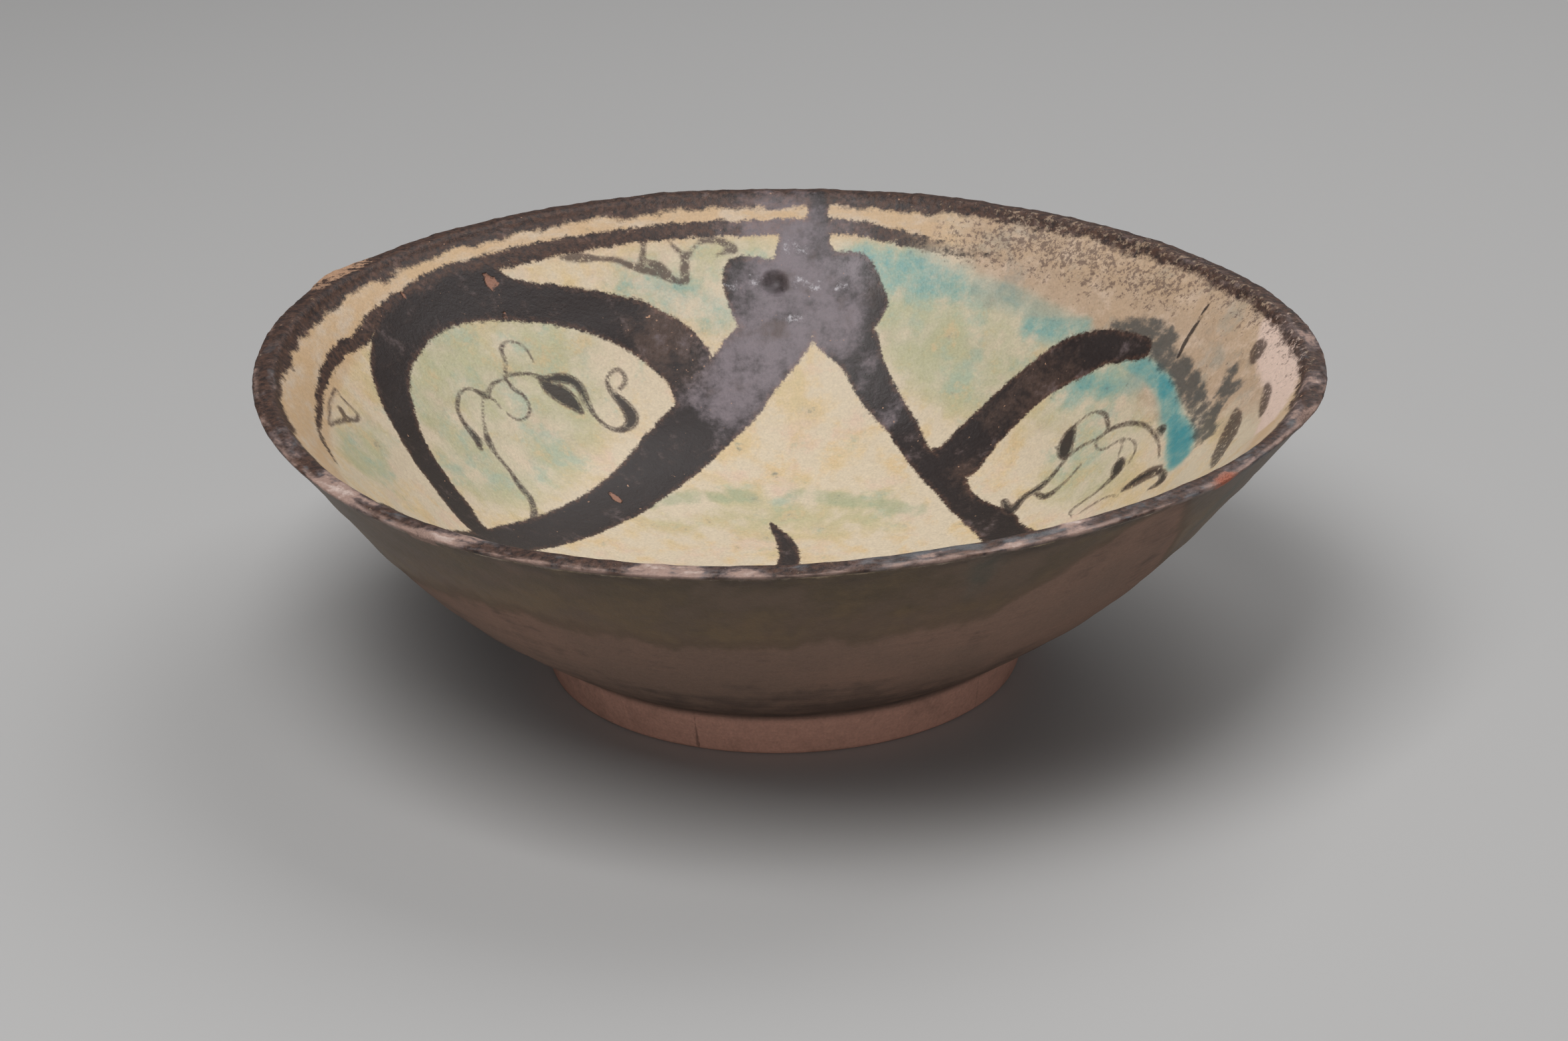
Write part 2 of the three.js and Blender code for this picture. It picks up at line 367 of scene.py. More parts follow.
def in_groups(function, places, group=6000):
    """The same function on a few thousand places at a time, to keep the arrays small."""
    return np.concatenate([function(places[i:i + group]) for i in range(0, len(places), group)])


corner_line = curved([(0, 0), (1, 0), (1, 1)], closed=False, steps=4)
print("a line through 3 points has", len(corner_line), "points")


# %% Distances to outlines and strokes
def to_outline(places, outline):
    """Distance to a closed outline in plan, negative inside. Inside means that a line to the right
    crosses the outline an odd number of times."""
    starts, ends = outline, np.roll(outline, -1, 0)

    def distance(some):
        apart, _ = pieces_apart(some, starts, ends)
        x, y = some[:, :1], some[:, 1:]
        spans = (starts[:, 1] > y) != (ends[:, 1] > y)
        rise = np.where(ends[:, 1] == starts[:, 1], 1, ends[:, 1] - starts[:, 1])
        crosses = spans & (x < starts[:, 0] + (y - starts[:, 1]) * (ends[:, 0] - starts[:, 0]) / rise)
        return apart.min(1) * np.where(crosses.sum(1) % 2, -1, 1)

    return in_groups(distance, places)


def on_wall(plan):
    """Plan places lifted onto the true inner surface, so that distances are measured along it."""
    plan = np.asarray(plan, float)
    height = np.interp(np.hypot(plan[..., 0], plan[..., 1]), inside[:, 0], inside[:, 1])
    return np.concatenate([plan, height[..., None]], -1)


def to_strokes(places, strokes):
    """Distance to the edge of the nearest brush stroke. A stroke is a line of plan places with a
    half width at each, and the half width changes evenly between them."""
    lines = [curved(stroke, closed=False, steps=4) for stroke in strokes]
    starts = np.vstack([line[:-1] for line in lines])
    ends = np.vstack([line[1:] for line in lines])
    start_places, end_places = on_wall(starts[:, :2]), on_wall(ends[:, :2])

    def distance(some):
        apart, share = pieces_apart(some, start_places, end_places)
        return (apart - starts[:, 2] - share * (ends[:, 2] - starts[:, 2])).min(1)

    return in_groups(distance, places)


def turned(plan, degrees):
    """Plan places turned about the bowl's axis."""
    turn = math.radians(degrees)
    spin = np.array([[math.cos(turn), math.sin(turn)], [-math.sin(turn), math.cos(turn)]])
    return plan @ spin


unit_square = np.array([(0.0, 0.0), (1.0, 0.0), (1.0, 1.0), (0.0, 1.0)])
print("the middle of a unit square lies", to_outline(np.array([[0.5, 0.5]]), unit_square)[0], "from its edge")

# %% [markdown]
# The broad shapes are closed outlines. The left strap passes in front of the left loop, the right
# strap is slimmer, and the right loop springs from it. The knot is a stem with two lobes.

# %% Outlines of the broad paint
LEFT_STRAP = [
    (-8, 75), (-14, 69), (-22, 59), (-28, 51), (-34, 40), (-41, 29), (-49, 18), (-57, 7), (-63, -4),
    (-70, -16), (-75, -28), (-66, -38), (-62, -18), (-56, -8), (-50, 3), (-43, 11), (-35, 20),
    (-27, 30), (-24.5, 34), (-17, 44), (-11, 52), (-5, 59), (-1, 64), (3, 68), (7, 73), (3, 79),
]
RIGHT_STRAP = [
    (7, 73), (13, 67), (17, 60), (22, 53), (25.5, 45), (29.5, 36), (31.5, 32), (33.5, 26), (36, 20),
    (38.5, 13), (41, 4), (46, -8), (54, -26), (61, -41), (72, -38), (66, -26), (60, -14), (53, 0),
    (49, 9.5), (47, 13), (46.3, 17), (44, 21.5), (41, 25.5), (38.5, 30), (37.5, 35), (35, 42),
    (31, 45.5), (28.5, 53), (25, 60), (23.5, 63), (22, 67), (20, 73), (13, 79),
]
LEFT_LOOP_INSIDE = [
    (-56.8, 6.3), (-61, 10.5), (-65, 14.5), (-68.5, 18.5), (-70.5, 22), (-72, 27), (-72.8, 32),
    (-72.5, 37), (-71, 42), (-69, 47), (-66.5, 51), (-63, 55), (-58, 59), (-52, 62.5), (-46, 65),
    (-40, 66.5), (-34, 66.7), (-29, 65.8), (-25, 64), (-22, 61), (-22, 52), (-32, 38), (-47, 16),
]
LEFT_LOOP_OUTSIDE = [
    (-62, 2), (-66, 5.5), (-71, 10.5), (-75, 15.5), (-78, 21), (-80, 27), (-80.3, 33), (-80, 37),
    (-79, 43), (-77, 47.5), (-74.5, 53), (-70.5, 57.5), (-66, 64), (-62, 67), (-58, 70), (-54.5, 69.6),
    (-50, 70.8), (-45, 72.7), (-40, 74), (-35, 75), (-29, 75.7), (-24, 75), (-19, 73.5), (-16, 71.5),
    (-14.3, 69), (-16, 60), (-30, 38), (-50, 8), (-56, 0),
]
RIGHT_LOOP = [
    (31, 45.5), (33, 46), (37, 48.5), (42, 50.5), (48, 52.3), (55, 53), (60, 52.5), (64, 50.5),
    (68, 47.5), (71.5, 43.5), (74, 40), (75, 37), (74, 34.8), (72, 36), (70, 38), (66, 41), (62, 42),
    (58, 43.5), (55, 43.8), (50, 43), (45, 40.8), (42, 38.5), (40, 36), (37.5, 35), (34, 38),
]
KNOT = [
    (6.6, 97), (6.4, 92.6), (1.2, 91.8), (0.2, 88.5), (-1, 85.8), (-5, 86.2), (-10, 85.4), (-11.6, 82),
    (-10.8, 79), (-9.3, 76), (-8, 74.5), (0, 71), (7.8, 73.3), (14, 71), (20, 72.5), (22, 74),
    (23.5, 76.5), (22.2, 79.3), (21, 82), (19, 84.7), (15.5, 86), (12, 86.6), (11.4, 89.5),
    (11.2, 92.4), (10.9, 97),
]

print("points of the outlines", sum(map(len, (LEFT_STRAP, RIGHT_STRAP, RIGHT_LOOP, KNOT))))

# %% [markdown]
# Lines of even brush width are strokes. Each point gives a place in plan and half the stroke's width
# there. Two of them make the dark ring under the rim, which thins out as it comes forward.

# %% Strokes of the rings and of the single marks
RING_LEFT = [
    (4, 91, 2.0), (-10, 90.4, 1.9), (-20, 88.8, 1.9), (-30, 85.9, 1.8), (-40, 81.7, 2.0),
    (-50, 76, 2.1), (-60, 68.4, 2.2), (-68, 60.4, 2.3), (-75.4, 49.2, 2.2), (-79.8, 40.8, 2.0),
    (-82.3, 33.2, 1.6), (-84.8, 28, 1.6), (-86.6, 22, 1.6), (-87.9, 15, 1.3), (-88.4, 8, 1.1),
    (-88.5, 3, 1.2), (-88, -5, 0.9), (-87, -15, 0.7), (-83, -25, 0.5),
]
RING_RIGHT = [(8, 90.6, 2.0), (12.6, 90.3, 1.9), (18.9, 88.9, 1.9), (26.3, 86.1, 1.9), (32, 83.4, 1.8),
              (37, 81, 1.6), (42, 78.4, 1.2), (47, 75.4, 0.7)]
CENTRE_LEAF = [
    (-2.4, 28, 0.25), (-1.6, 26, 0.9), (0.2, 21, 1.7), (1.2, 15, 2.1), (0.5, 8, 2.5), (-2, 0, 3.2),
    (-6, -8, 3.4), (-12, -15, 2.4), (-16, -19, 0.8),
]
BLADES = [
    [(84.9, -3.5, 0.5), (83.9, -8, 2.4), (82, -13.5, 3.0), (80, -18.5, 2.3), (78.6, -23, 0.8)],
    [(90.2, -5, 0.4), (89.8, -8.5, 1.3), (88.7, -13, 1.4), (87.3, -18.5, 0.6)],
]
RIM_SPOT = [[(90.2, 7.3, 1.4), (91, 9.2, 2.2), (91.4, 11, 1.5)]]

print("ring strokes", len(RING_LEFT), "and", len(RING_RIGHT), "points, blades", len(BLADES))

# %% [markdown]
# The scrolls inside the loops were drawn with a thin, half dry brush. They wander like vines: a stem,
# a few open curls and some filled leaves. A stroke's half width falls to 0.3 mm at its thinnest.

# %% The thin scrolls
LEFT_SCROLL = [
    [(-32.6, 59, 0.5), (-31.5, 61, 0.6), (-32.7, 62.5, 0.5), (-34.3, 61.5, 0.5), (-35.2, 59.5, 0.5),
     (-34.3, 57.8, 0.8), (-32, 56.5, 1.4), (-30.4, 54.6, 1.7), (-30.7, 52.8, 1.3), (-32.5, 51, 0.8),
     (-35, 50.6, 0.6), (-37.5, 51.8, 0.6), (-39.2, 54, 0.9), (-40.5, 56, 1.2), (-42.5, 56.6, 1.4),
     (-45, 55.7, 1.3), (-47.3, 54.2, 1.0), (-50, 53.7, 0.5), (-52.5, 52.2, 0.5), (-55, 50.2, 0.4)],
    [(-48, 53.6, 0.9), (-46.3, 53, 1.9), (-44, 52.9, 2.4), (-42, 52.3, 1.8), (-40.2, 51.3, 0.7)],
    [(-55.2, 50, 0.4), (-55, 53, 0.5), (-55.8, 55, 0.6), (-54.8, 57, 0.4), (-52.5, 58.2, 0.35),
     (-50.5, 57.5, 0.35), (-49.7, 56, 0.3)],
    [(-55.2, 50, 0.4), (-53.5, 48.6, 0.6), (-51.5, 48.5, 0.5), (-50.3, 46.5, 0.45), (-51, 44, 0.4),
     (-53, 42.3, 0.35), (-55, 42.5, 0.3)],
    [(-55.5, 49, 0.35), (-57.3, 47, 0.5), (-58.2, 44.5, 0.6), (-58.8, 43.3, 0.9), (-61.5, 42.5, 0.4),
     (-63.3, 40.5, 0.45), (-64, 37.5, 0.6), (-63.8, 35, 0.6), (-62.3, 33, 0.8), (-60.5, 31.8, 1.2),
     (-59.6, 30, 0.8)],
    [(-58.8, 43.3, 0.5), (-56.7, 43.6, 0.35), (-56, 42.8, 0.3)],
    [(-59.2, 43, 0.35), (-59.2, 39, 0.35), (-58.8, 35.5, 0.5), (-58, 33, 1.0), (-56.5, 31, 0.6),
     (-54, 29, 0.6), (-52, 26.5, 0.9), (-50, 24, 0.9), (-49.3, 21.5, 0.8), (-49, 19, 0.9),
     (-49.5, 17.5, 0.5)],
]
RIGHT_SCROLL = [
    [(44.3, 23.6, 0.9), (45.2, 19.5, 1.4), (48, 22, 1.0), (51, 23, 1.1), (54, 24.5, 0.7),
     (57, 26.5, 0.5), (60, 26.8, 0.5), (63, 25.5, 0.5), (66, 25, 0.7), (69, 22.5, 0.7), (71.5, 18, 0.6),
     (72.5, 13, 0.5), (72.8, 9, 0.4), (72.3, 5, 0.4)],
    [(50.5, 21.5, 0.6), (52.2, 19.3, 1.1), (55, 20, 0.5), (57.5, 21, 0.4), (59.5, 22.3, 0.35)],
    [(56.6, 26.8, 0.6), (56.9, 29, 2.0), (58, 31.6, 1.8), (59.5, 33, 0.5), (62.5, 33, 0.4),
     (64.8, 30.5, 0.6), (65.2, 27.5, 0.6), (65, 25, 0.4)],
    [(55.2, 31.2, 0.3), (56.4, 30.2, 0.6)],
    [(62.5, 24.5, 0.4), (62.8, 22.5, 0.35), (64.5, 21, 0.4), (66.5, 20.5, 0.35), (67, 18.5, 0.35),
     (66, 16.5, 0.3)],
    [(67, 20.5, 0.3), (68.8, 17.5, 0.35), (69, 14, 0.35), (67.5, 11.5, 0.3)],
    [(66.2, 14.6, 0.9), (65.6, 13, 1.9), (64.6, 11.4, 1.0), (61, 10.5, 0.45), (57.5, 10.5, 0.45),
     (56, 9.5, 0.4), (56.3, 7.5, 0.3)],
    [(57.5, 7.2, 0.3), (60, 7.2, 0.4), (63, 6, 0.35), (64.3, 3.5, 0.3)],
    [(73, 14.2, 0.5), (73.9, 12.8, 1.3), (73.6, 11.2, 0.4)],
    [(65.6, 4.2, 0.8), (68.5, 3.4, 1.2), (71, 1.2, 0.9), (72, -2, 1.0), (71.5, -5, 1.4), (69.5, -4, 0.6)],
]
RIM_DOODLES = [
    [(-44, 77.6, 0.6), (-40.5, 79, 1.2), (-36.9, 80.1, 0.6), (-33.5, 80.9, 0.7), (-30, 80.9, 0.9),
     (-25.4, 80.9, 1.0), (-20, 80.3, 0.7)],
    [(-27.6, 85.2, 0.6), (-27.8, 83.3, 0.7), (-28.4, 80.7, 0.8)],
    [(-26.4, 82.2, 0.8), (-24.6, 82, 1.3), (-22.9, 81.2, 1.0)],
    [(-16.5, 87.2, 0.5), (-17.9, 85.9, 0.6), (-19.1, 84.4, 0.9), (-19.3, 82.6, 1.0), (-19.2, 80.8, 0.9)],
    [(-22.6, 86.8, 0.4), (-21.5, 85.9, 0.5), (-20, 85.1, 0.6), (-19.2, 84.4, 0.8)],
    [(-15.8, 87.7, 0.8), (-13.6, 88.1, 0.7), (-11.3, 87.9, 1.0), (-8.9, 87, 0.8), (-10.6, 86.6, 0.6),
     (-12.7, 85.8, 0.4)],
    [(-86.1, 12, 0.45), (-84.2, 10.5, 0.5), (-81.6, 9.3, 0.6), (-84, 3, 0.7), (-86.1, -5, 0.5)],
    [(-84.8, 6, 1.0), (-83.7, 4.6, 1.3)],
    [(-86.2, 11, 0.4), (-86.7, 4, 0.45), (-86.2, -4, 0.45)],
    [(66.5, 3.8, 1.2), (69.5, 2.4, 2.0), (71.4, 0.6, 1.6)],
]

print("scroll strokes", len(LEFT_SCROLL) + len(RIGHT_SCROLL), "marks under the rim", len(RIM_DOODLES))

# %% [markdown]
# Now every painted thing becomes one number per grid point. A turned copy of a shape is measured by
# turning the places the other way. The near part, which the front view doesn't show, gets turned
# copies: a strap, a loop with its scroll and a knot at a third of a turn each way, the left knot a
# little further round, because its exact third would show over the near rim.

# %% Measure the paint on the grid
flat = row < INSIDE_ROWS + 6
plan = np.stack([true_radius * np.cos(angle), true_radius * np.sin(angle)], -1)[flat]
wall = on_wall(plan)
BARE = 30.0


def loop_band(places):
    """Distance to the left loop's band: inside its outer outline and outside its inner one."""
    outer = to_outline(places, curved(LEFT_LOOP_OUTSIDE))
    inner = to_outline(places, curved(LEFT_LOOP_INSIDE))
    return np.maximum(outer, -inner)


def turned_strokes(strokes, degrees):
    """Strokes turned about the axis, with their half widths as they were."""
    return [np.hstack([turned(np.array(s)[:, :2], degrees), np.array(s)[:, 2:]]) for s in strokes]


# The near strap, drawn as the left strap's middle line and half width turned by a third.
STRAP_LINE = [[(-2, 71, 6.6), (-8.5, 65, 6.6), (-23, 47, 6), (-37, 26, 5.0), (-54, 4.5, 3.8),
               (-60, -7, 3.6), (-66, -18, 3.8), (-72, -27, 5), (-79, -32, 5)]]
# A short stroke that closes the gap between the turned strap and the turned loop.
STRAP_FILL = [(-62, -42, 3), (-52, -55, 3.5)]
THIRD = 120
NEAR_KNOT = 129
broad = np.minimum.reduce([
    to_outline(plan, curved(LEFT_STRAP)),
    to_outline(plan, curved(RIGHT_STRAP)),
    to_outline(plan, curved(RIGHT_LOOP)),
    loop_band(plan),
    loop_band(turned(plan, -THIRD)),
    to_outline(plan, curved(KNOT)),
    to_outline(turned(plan, -NEAR_KNOT), curved(KNOT)),
    to_outline(turned(plan, THIRD), curved(KNOT)),
    to_strokes(wall, turned_strokes(STRAP_LINE, THIRD)),
    to_strokes(wall, [CENTRE_LEAF, STRAP_FILL]),
])
ring = to_strokes(wall, [RING_LEFT, RING_RIGHT] + turned_strokes([RING_LEFT[1:8]], NEAR_KNOT))
thin = to_strokes(wall, LEFT_SCROLL + RIGHT_SCROLL + turned_strokes(LEFT_SCROLL, THIRD))
faint = to_strokes(wall, RIM_DOODLES + RIM_SPOT + BLADES)
print("painted share", (broad < 0).mean().round(3), "thin strokes", (thin < 0).mean().round(4))

# %% [markdown]
# ## Colour pools, wear and damage as soft fields
# Copper in the glaze ran into turquoise pools; buried lime left tan and rosy stains on the right; the
# slip flaked from small spots. Each is a soft spot: a weight that falls from 1 in the middle of a line
# to 0 at a given distance. Noise in the material breaks their edges.


# %% Soft fields of the glaze
def soft_spots(spots, reach):
    """The greatest of 1 minus distance over reach, eased, over spots that are strokes."""
    return 1 - smooth(0, reach, np.maximum(to_strokes(wall, spots), 0))


pools = np.maximum.reduce([
    0.66 * soft_spots([[(15, 84, 1), (24, 81, 2.5), (32, 78, 2), (38, 75, 1.5)]], 8),
    0.56 * soft_spots([[(38, 75, 1), (45, 71, 1), (52, 65, 1), (58, 58, 1), (62, 52, 1.5)]], 6),
    0.66 * soft_spots([[(53, 60, 0.6), (58, 56, 1.3), (63, 52.5, 0.8)]], 5),
    0.6 * soft_spots([[(60, 40.5, 0.5), (66, 37.5, 1.5), (72, 32, 2)]], 7),
    0.74 * soft_spots([[(70.5, 37, 0.8), (73.5, 32, 1.2), (75.5, 25, 1.2), (76, 19, 1.2),
                        (76, 12, 1.4)]], 4.2),
    1.0 * soft_spots([[(75.6, 26, 0.3), (76, 22, 0.6)],
                      [(76, 13, 0.4), (76.3, 7, 1.2), (76, 2, 2.0), (75.2, -2.5, 1.2)]], 4),
    0.4 * soft_spots([[(-32, 77.5, 1), (-26, 79, 1.5), (-14, 77, 1.5)]], 8),
])
veil = np.maximum.reduce([
    0.9 * soft_spots([[(-70, 30, 1), (-66, 45, 3), (-52, 40, 6), (-60, 25, 4), (-40, 60, 3),
                       (-50, 57, 3)]], 16),
    1.0 * soft_spots([[(25, 76, 2), (40, 62, 7), (55, 54, 2)]], 16),
    0.8 * soft_spots([[(58, 38, 2), (68, 30, 4), (60, 20, 5)]], 14),
    0.5 * soft_spots([[(-22, 30, 3), (0, 33, 2), (20, 30, 3)]], 14),
    0.8 * soft_spots([[(-24, 82, 1), (-6, 84, 3), (-4, 76, 2)]], 8),
    0.9 * soft_spots([[(-78, 8, 1), (-80, -8, 3)]], 9),
])
streaks = soft_spots([
    [(-26, 33, 0.8), (-14, 37, 1), (-8, 37.5, 0.8)],
    [(2, 38, 0.5), (12, 35.5, 0.8), (20, 32, 1), (27, 28, 0.6)],
], 4.5)
print("pools cover", (pools > 0.3).mean().round(3), "of the inside")

# %% Soft fields of burial and wear
direction = np.degrees(np.arctan2(plan[:, 1], plan[:, 0]))
radius = np.hypot(plan[:, 0], plan[:, 1])
tan_reach = smooth(-30, 5, direction) * (1 - smooth(52, 80, direction))
tan_edge = 84 - 8 * np.exp(-((direction - 18) / 16) ** 2) - 2 * np.exp(-((direction - 45) / 14) ** 2)
worn = tan_reach * smooth(tan_edge - 6, tan_edge + 6, radius)
buff_from = 90.5 - 3.5 * smooth(140, 175, np.abs(direction))
buff = smooth(buff_from - 3.5, buff_from + 1.5, radius)
near_lip_wear = smooth(88, 95, radius) * tan_reach
crumbs = soft_spots([
    [(33, 84, 1), (45, 78, 1.5), (56, 70.5, 2), (66, 61, 1.5), (74, 51, 1), (80, 41, 1)]], 6)
rosy = soft_spots([
    [(94.5, 14, 1.2), (93.5, 5, 2.6), (93, -4, 2.6), (91, -16, 1.8), (87, -27, 0.8)]], 4.5)
scars = to_strokes(wall, [
    [(-58.8, 67.4, 0.5), (-58, 66.3, 0.9), (-57.3, 65.4, 0.3)],
    [(-57.1, 67.6, 0.4), (-56.6, 67, 0.4)],
    [(-55.2, 62.3, 0.4), (-54.8, 61.4, 0.3)],
    [(-34.3, 33.6, 0.4), (-33.2, 32.2, 0.8), (-32.3, 31.4, 0.3)],
    [(-74.5, 52.5, 0.4), (-74, 52, 0.4)],
])
smear = np.maximum.reduce([
    soft_spots([[(70.5, 44.5, 1.4), (74.5, 40.5, 2.0), (77, 35, 1.8)]], 4.5),
    0.95 * soft_spots([[(76, 34, 1.0), (78.6, 26, 1.2), (79.8, 17, 1.2), (80.2, 8, 1.0),
                        (80, -2, 1.2)]], 4),
    0.85 * soft_spots([[(81.5, 2, 0.6), (84.5, 5.5, 0.8), (86.3, 4, 0.6)],
                       [(84, 8, 0.4), (86.5, 11, 0.4)]], 3.5),
])
print("the tan crust covers", (worn > 0.5).mean().round(3), "of the inside")

# %% Soft fields of the paint
crack = to_strokes(wall, [
    [(86.5, 34.5, 0.15), (83.5, 32.2, 0.4), (80.5, 30, 0.5), (78.8, 28, 0.3)],
    [(78, 61, 0.08), (74, 58, 0.15)],
])
# Greyer paint on the far knot and the upper straps: partly the paint's own tone, partly a painted sheen of
# the glaze.
grey_and_sheen_paint = np.maximum.reduce([
    soft_spots([[(0, 90, 3), (4, 84, 6), (6, 78, 6), (-4, 70, 4), (-8, 64, 2)]], 16),
    0.45 * soft_spots([[(16, 68, 1), (22, 58, 1)]], 9),
])
brown_paint = np.maximum.reduce([
    0.9 * soft_spots([[(-24, 71, 3), (-20, 68, 3)]], 8),
    0.7 * soft_spots([[(45, 47, 1), (52, 48, 2), (57, 47, 2)]], 7),
    0.8 * soft_spots([[(37, 37, 1), (40, 31, 1)]], 5),
])
# Small clusters of white glints on the glaze of the far knot: painted highlights.
PAINTED_GLINT_PLACES = [
    (2.6, 87.6), (5.2, 87.3), (-4.6, 82.3), (-10, 81.2), (4.6, 82), (7.6, 81.2), (13.2, 80.6), (3.4, 76.2),
]
glint_spots = soft_spots([[(x - 0.7, y, 0.2), (x + 0.7, y, 0.2)] for x, y in PAINTED_GLINT_PLACES], 2.4)
# Painted shade in the pit: the paint darkens towards the hollow's middle.
pit_shade = 1 - smooth(pit_radius * 0.75, pit_radius * 1.2, from_pit[flat])
print("clusters of bubbles", len(PAINTED_GLINT_PLACES), "greyed share", (grey_and_sheen_paint > 0.5).mean().round(3))

# %% [markdown]
# The lip's dark band ends raggedly below the rim, and the lip's outer corner lost its glaze in places.
# The distance along the profile from that corner tells inside from outside, which a height couldn't
# do, because the rim isn't level. Every mark on the lip is placed by its direction, as on a dial.

# %% Fields of the lip
lengths = np.concatenate([[0], np.cumsum(np.linalg.norm(np.diff(profile, axis=0), axis=1))])
# The row in the middle of the lip's outer rounding.
LIP_CORNER_ROW = INSIDE_ROWS + 8
past_lip = np.repeat((lengths - lengths[LIP_CORNER_ROW])[:, None], len(directions), 1)
turn_degrees = np.degrees(np.arctan2(np.sin(angle), np.cos(angle)))
BAND_EDGE = 94.2
NARROWER_IN_FRONT = 0.8
narrower = NARROWER_IN_FRONT * (1 - smooth(-30, 60, turn_degrees))
band_edge = BAND_EDGE + ripple(arc, [9.0, 17.0, 31.0], 0.35, 11) + narrower
lip_band = np.where(row < LIP_ROWS, band_edge - true_radius, BARE)
# Pale places of the lip's top: direction and half angle.
LIP_PATCHES = [
    (-144, 4.5), (-124, 3), (-102.5, 2.5), (-99, 2), (-93.9, 2), (-68, 2), (-60.5, 2.5), (-54.4, 2), (4, 5),
]
# Stretches of the lip that kept their dark paint: direction and half angle.
LIP_DARK = [(-131.5, 4.5), (-109, 3.5), (-85, 4.5), (-71.5, 3.5), (-53, 3.5)]


def near_any(stretches):
    """1 in the middle of each stretch of the lip, falling to 0 a little beyond its half angle."""
    return np.maximum.reduce([
        smooth(0, 1, 1.3 - turned_apart(angle, towards) / math.radians(half))
        for towards, half in stretches])


pale_lip = near_any(LIP_PATCHES)
dark_lip = near_any(LIP_DARK)
print("pale share of the lip's top", pale_lip[LIP_CORNER_ROW].mean().round(3))


# %% Fields of the broken lip
def near_chip(towards, length, width, drop):
    """1 in the middle of a chip, falling to 0 about half its size beyond its edge."""
    sideways = RIM_RADIUS * turned_apart(angle, towards) / (length + 1)
    down = (past_lip - 0.4) / (drop + 1)
    return smooth(0, 1, 1.5 - np.hypot(sideways, down))


chipped = np.maximum.reduce([near_chip(*chip) for chip in LIP_CHIPS])
# One chip shows redder clay than the others.
RED_CHIP = -41
redder = chipped * smooth(0, 1, 1 - turned_apart(angle, RED_CHIP) / math.radians(5))
# Bare clay at the left end, where the lip's outer corner scaled away along the stretch that stands proud.
spall_towards, spall_half, _ = LIP_STRETCHES[0]
out_of_lip = smooth(-3.6, -1.8, past_lip) * (1 - smooth(3.4, 6.4, past_lip))
spall = out_of_lip * smooth(0, 1, 1 - turned_apart(angle, spall_towards) / math.radians(spall_half))
print("broken points", int((spall > 0.5).sum()), "chipped points", int((chipped > 0.5).sum()))

# %% [markdown]
# A green-brown glaze ran down the outside from the lip to a wavy edge and left the clay bare below it.
# The edge is a height for each direction, joined up and rippled. A drip is a column that narrows
# downwards. The foot has two fine upright cracks, as distances to a line that wanders a little.

# %% Fields of the outside
# The glaze's lower edge: direction and height.
GLAZE_LIMIT = [
    (-180, 36), (-160, 33), (-150, 36), (-140, 40), (-128, 43.5), (-115, 42), (-100, 40.5), (-88, 41.5),
    (-75, 42), (-66, 43), (-60, 50), (-53, 60), (-47, 61), (-42, 52), (-36, 38), (-25, 33), (0, 36),
    (30, 42), (60, 37), (90, 40), (120, 35), (150, 39), (180, 36),
]
limit = np.interp(turn_degrees, *np.array(GLAZE_LIMIT).T) + ripple(arc, [6.0, 13.0, 21.0], 0.7, 12)
glaze_above = true_height - limit
# Darker drips: direction, height of the lower end and strength.
DRIPS = [(-70, 47, 1.0), (-155, 30, 0.8), (-35, 34, 0.7), (20, 38, 0.8), (75, 36, 0.7), (128, 34, 0.8)]
drips = np.zeros_like(glaze_above)
for towards, low, strength in DRIPS:
    width = 2.2 + 2.6 * smooth(low, HEIGHT, true_height)
    column = np.exp(-(RIM_RADIUS * turned_apart(angle, towards) / width) ** 2)
    drips = np.maximum(drips, strength * column * smooth(low - 2, low + 5, true_height))
# Fine upright cracks of the foot: direction and half width.
FOOT_CRACKS = [(-111, 0.15), (-39.5, 0.1)]
on_foot = (row >= LIP_ROWS) & (true_height < FOOT_HEIGHT)
foot_crack = np.full_like(true_height, BARE)
for towards, width in FOOT_CRACKS:
    wander = 0.008 * np.sin(true_height * 1.1 + towards)
    distance = true_radius * turned_apart(angle + wander, towards) - width
    foot_crack = np.where(on_foot, np.minimum(foot_crack, distance), foot_crack)
print("glaze ends between", limit.min().round(1), "and", limit.max().round(1), "mm above the ground")

# %% [markdown]
# ## From numbers to a mesh
# The grid becomes quads, and the two ends of the profile close in a fan of triangles round one point
# each. Rows run outwards on the inside and columns run from right to back, so faces point out.

# %% Build the surface
rows, columns = angle.shape
end_points = np.array([[0, 0, FLOOR_HEIGHT], [0, 0, FOOT_RECESS]])
vertices = np.vstack([points.reshape(-1, 3), end_points]) * MM
floor_point = rows * columns
underside_point = floor_point + 1
around = np.arange(columns)
next_one = (around + 1) % columns
row_starts = np.arange(rows - 1)[:, None] * columns
first = (row_starts + around).ravel()
beside = (row_starts + next_one).ravel()
quads = np.stack([first, first + columns, beside + columns, beside], 1)
last_row = (rows - 1) * columns
floor_fan = np.stack([np.full(columns, floor_point), around, next_one], 1)
under_fan = np.stack([np.full(columns, underside_point), last_row + next_one, last_row + around], 1)

mesh = bpy.data.meshes.new("painted_bowl")
mesh.from_pydata(vertices.tolist(), [], quads.tolist() + floor_fan.tolist() + under_fan.tolist())
mesh.polygons.foreach_set("use_smooth", np.ones(len(mesh.polygons), bool))
mesh.update()
bowl = bpy.data.objects.new("painted_bowl", mesh)
bpy.context.scene.collection.objects.link(bowl)
print("triangles", sum(len(p.vertices) - 2 for p in mesh.polygons))

# %% [markdown]
# Each field becomes an attribute of the mesh: one number per point, which the material reads by name.
# An image of the same detail would need a seam in its unwrapping, and a number per point needs none.


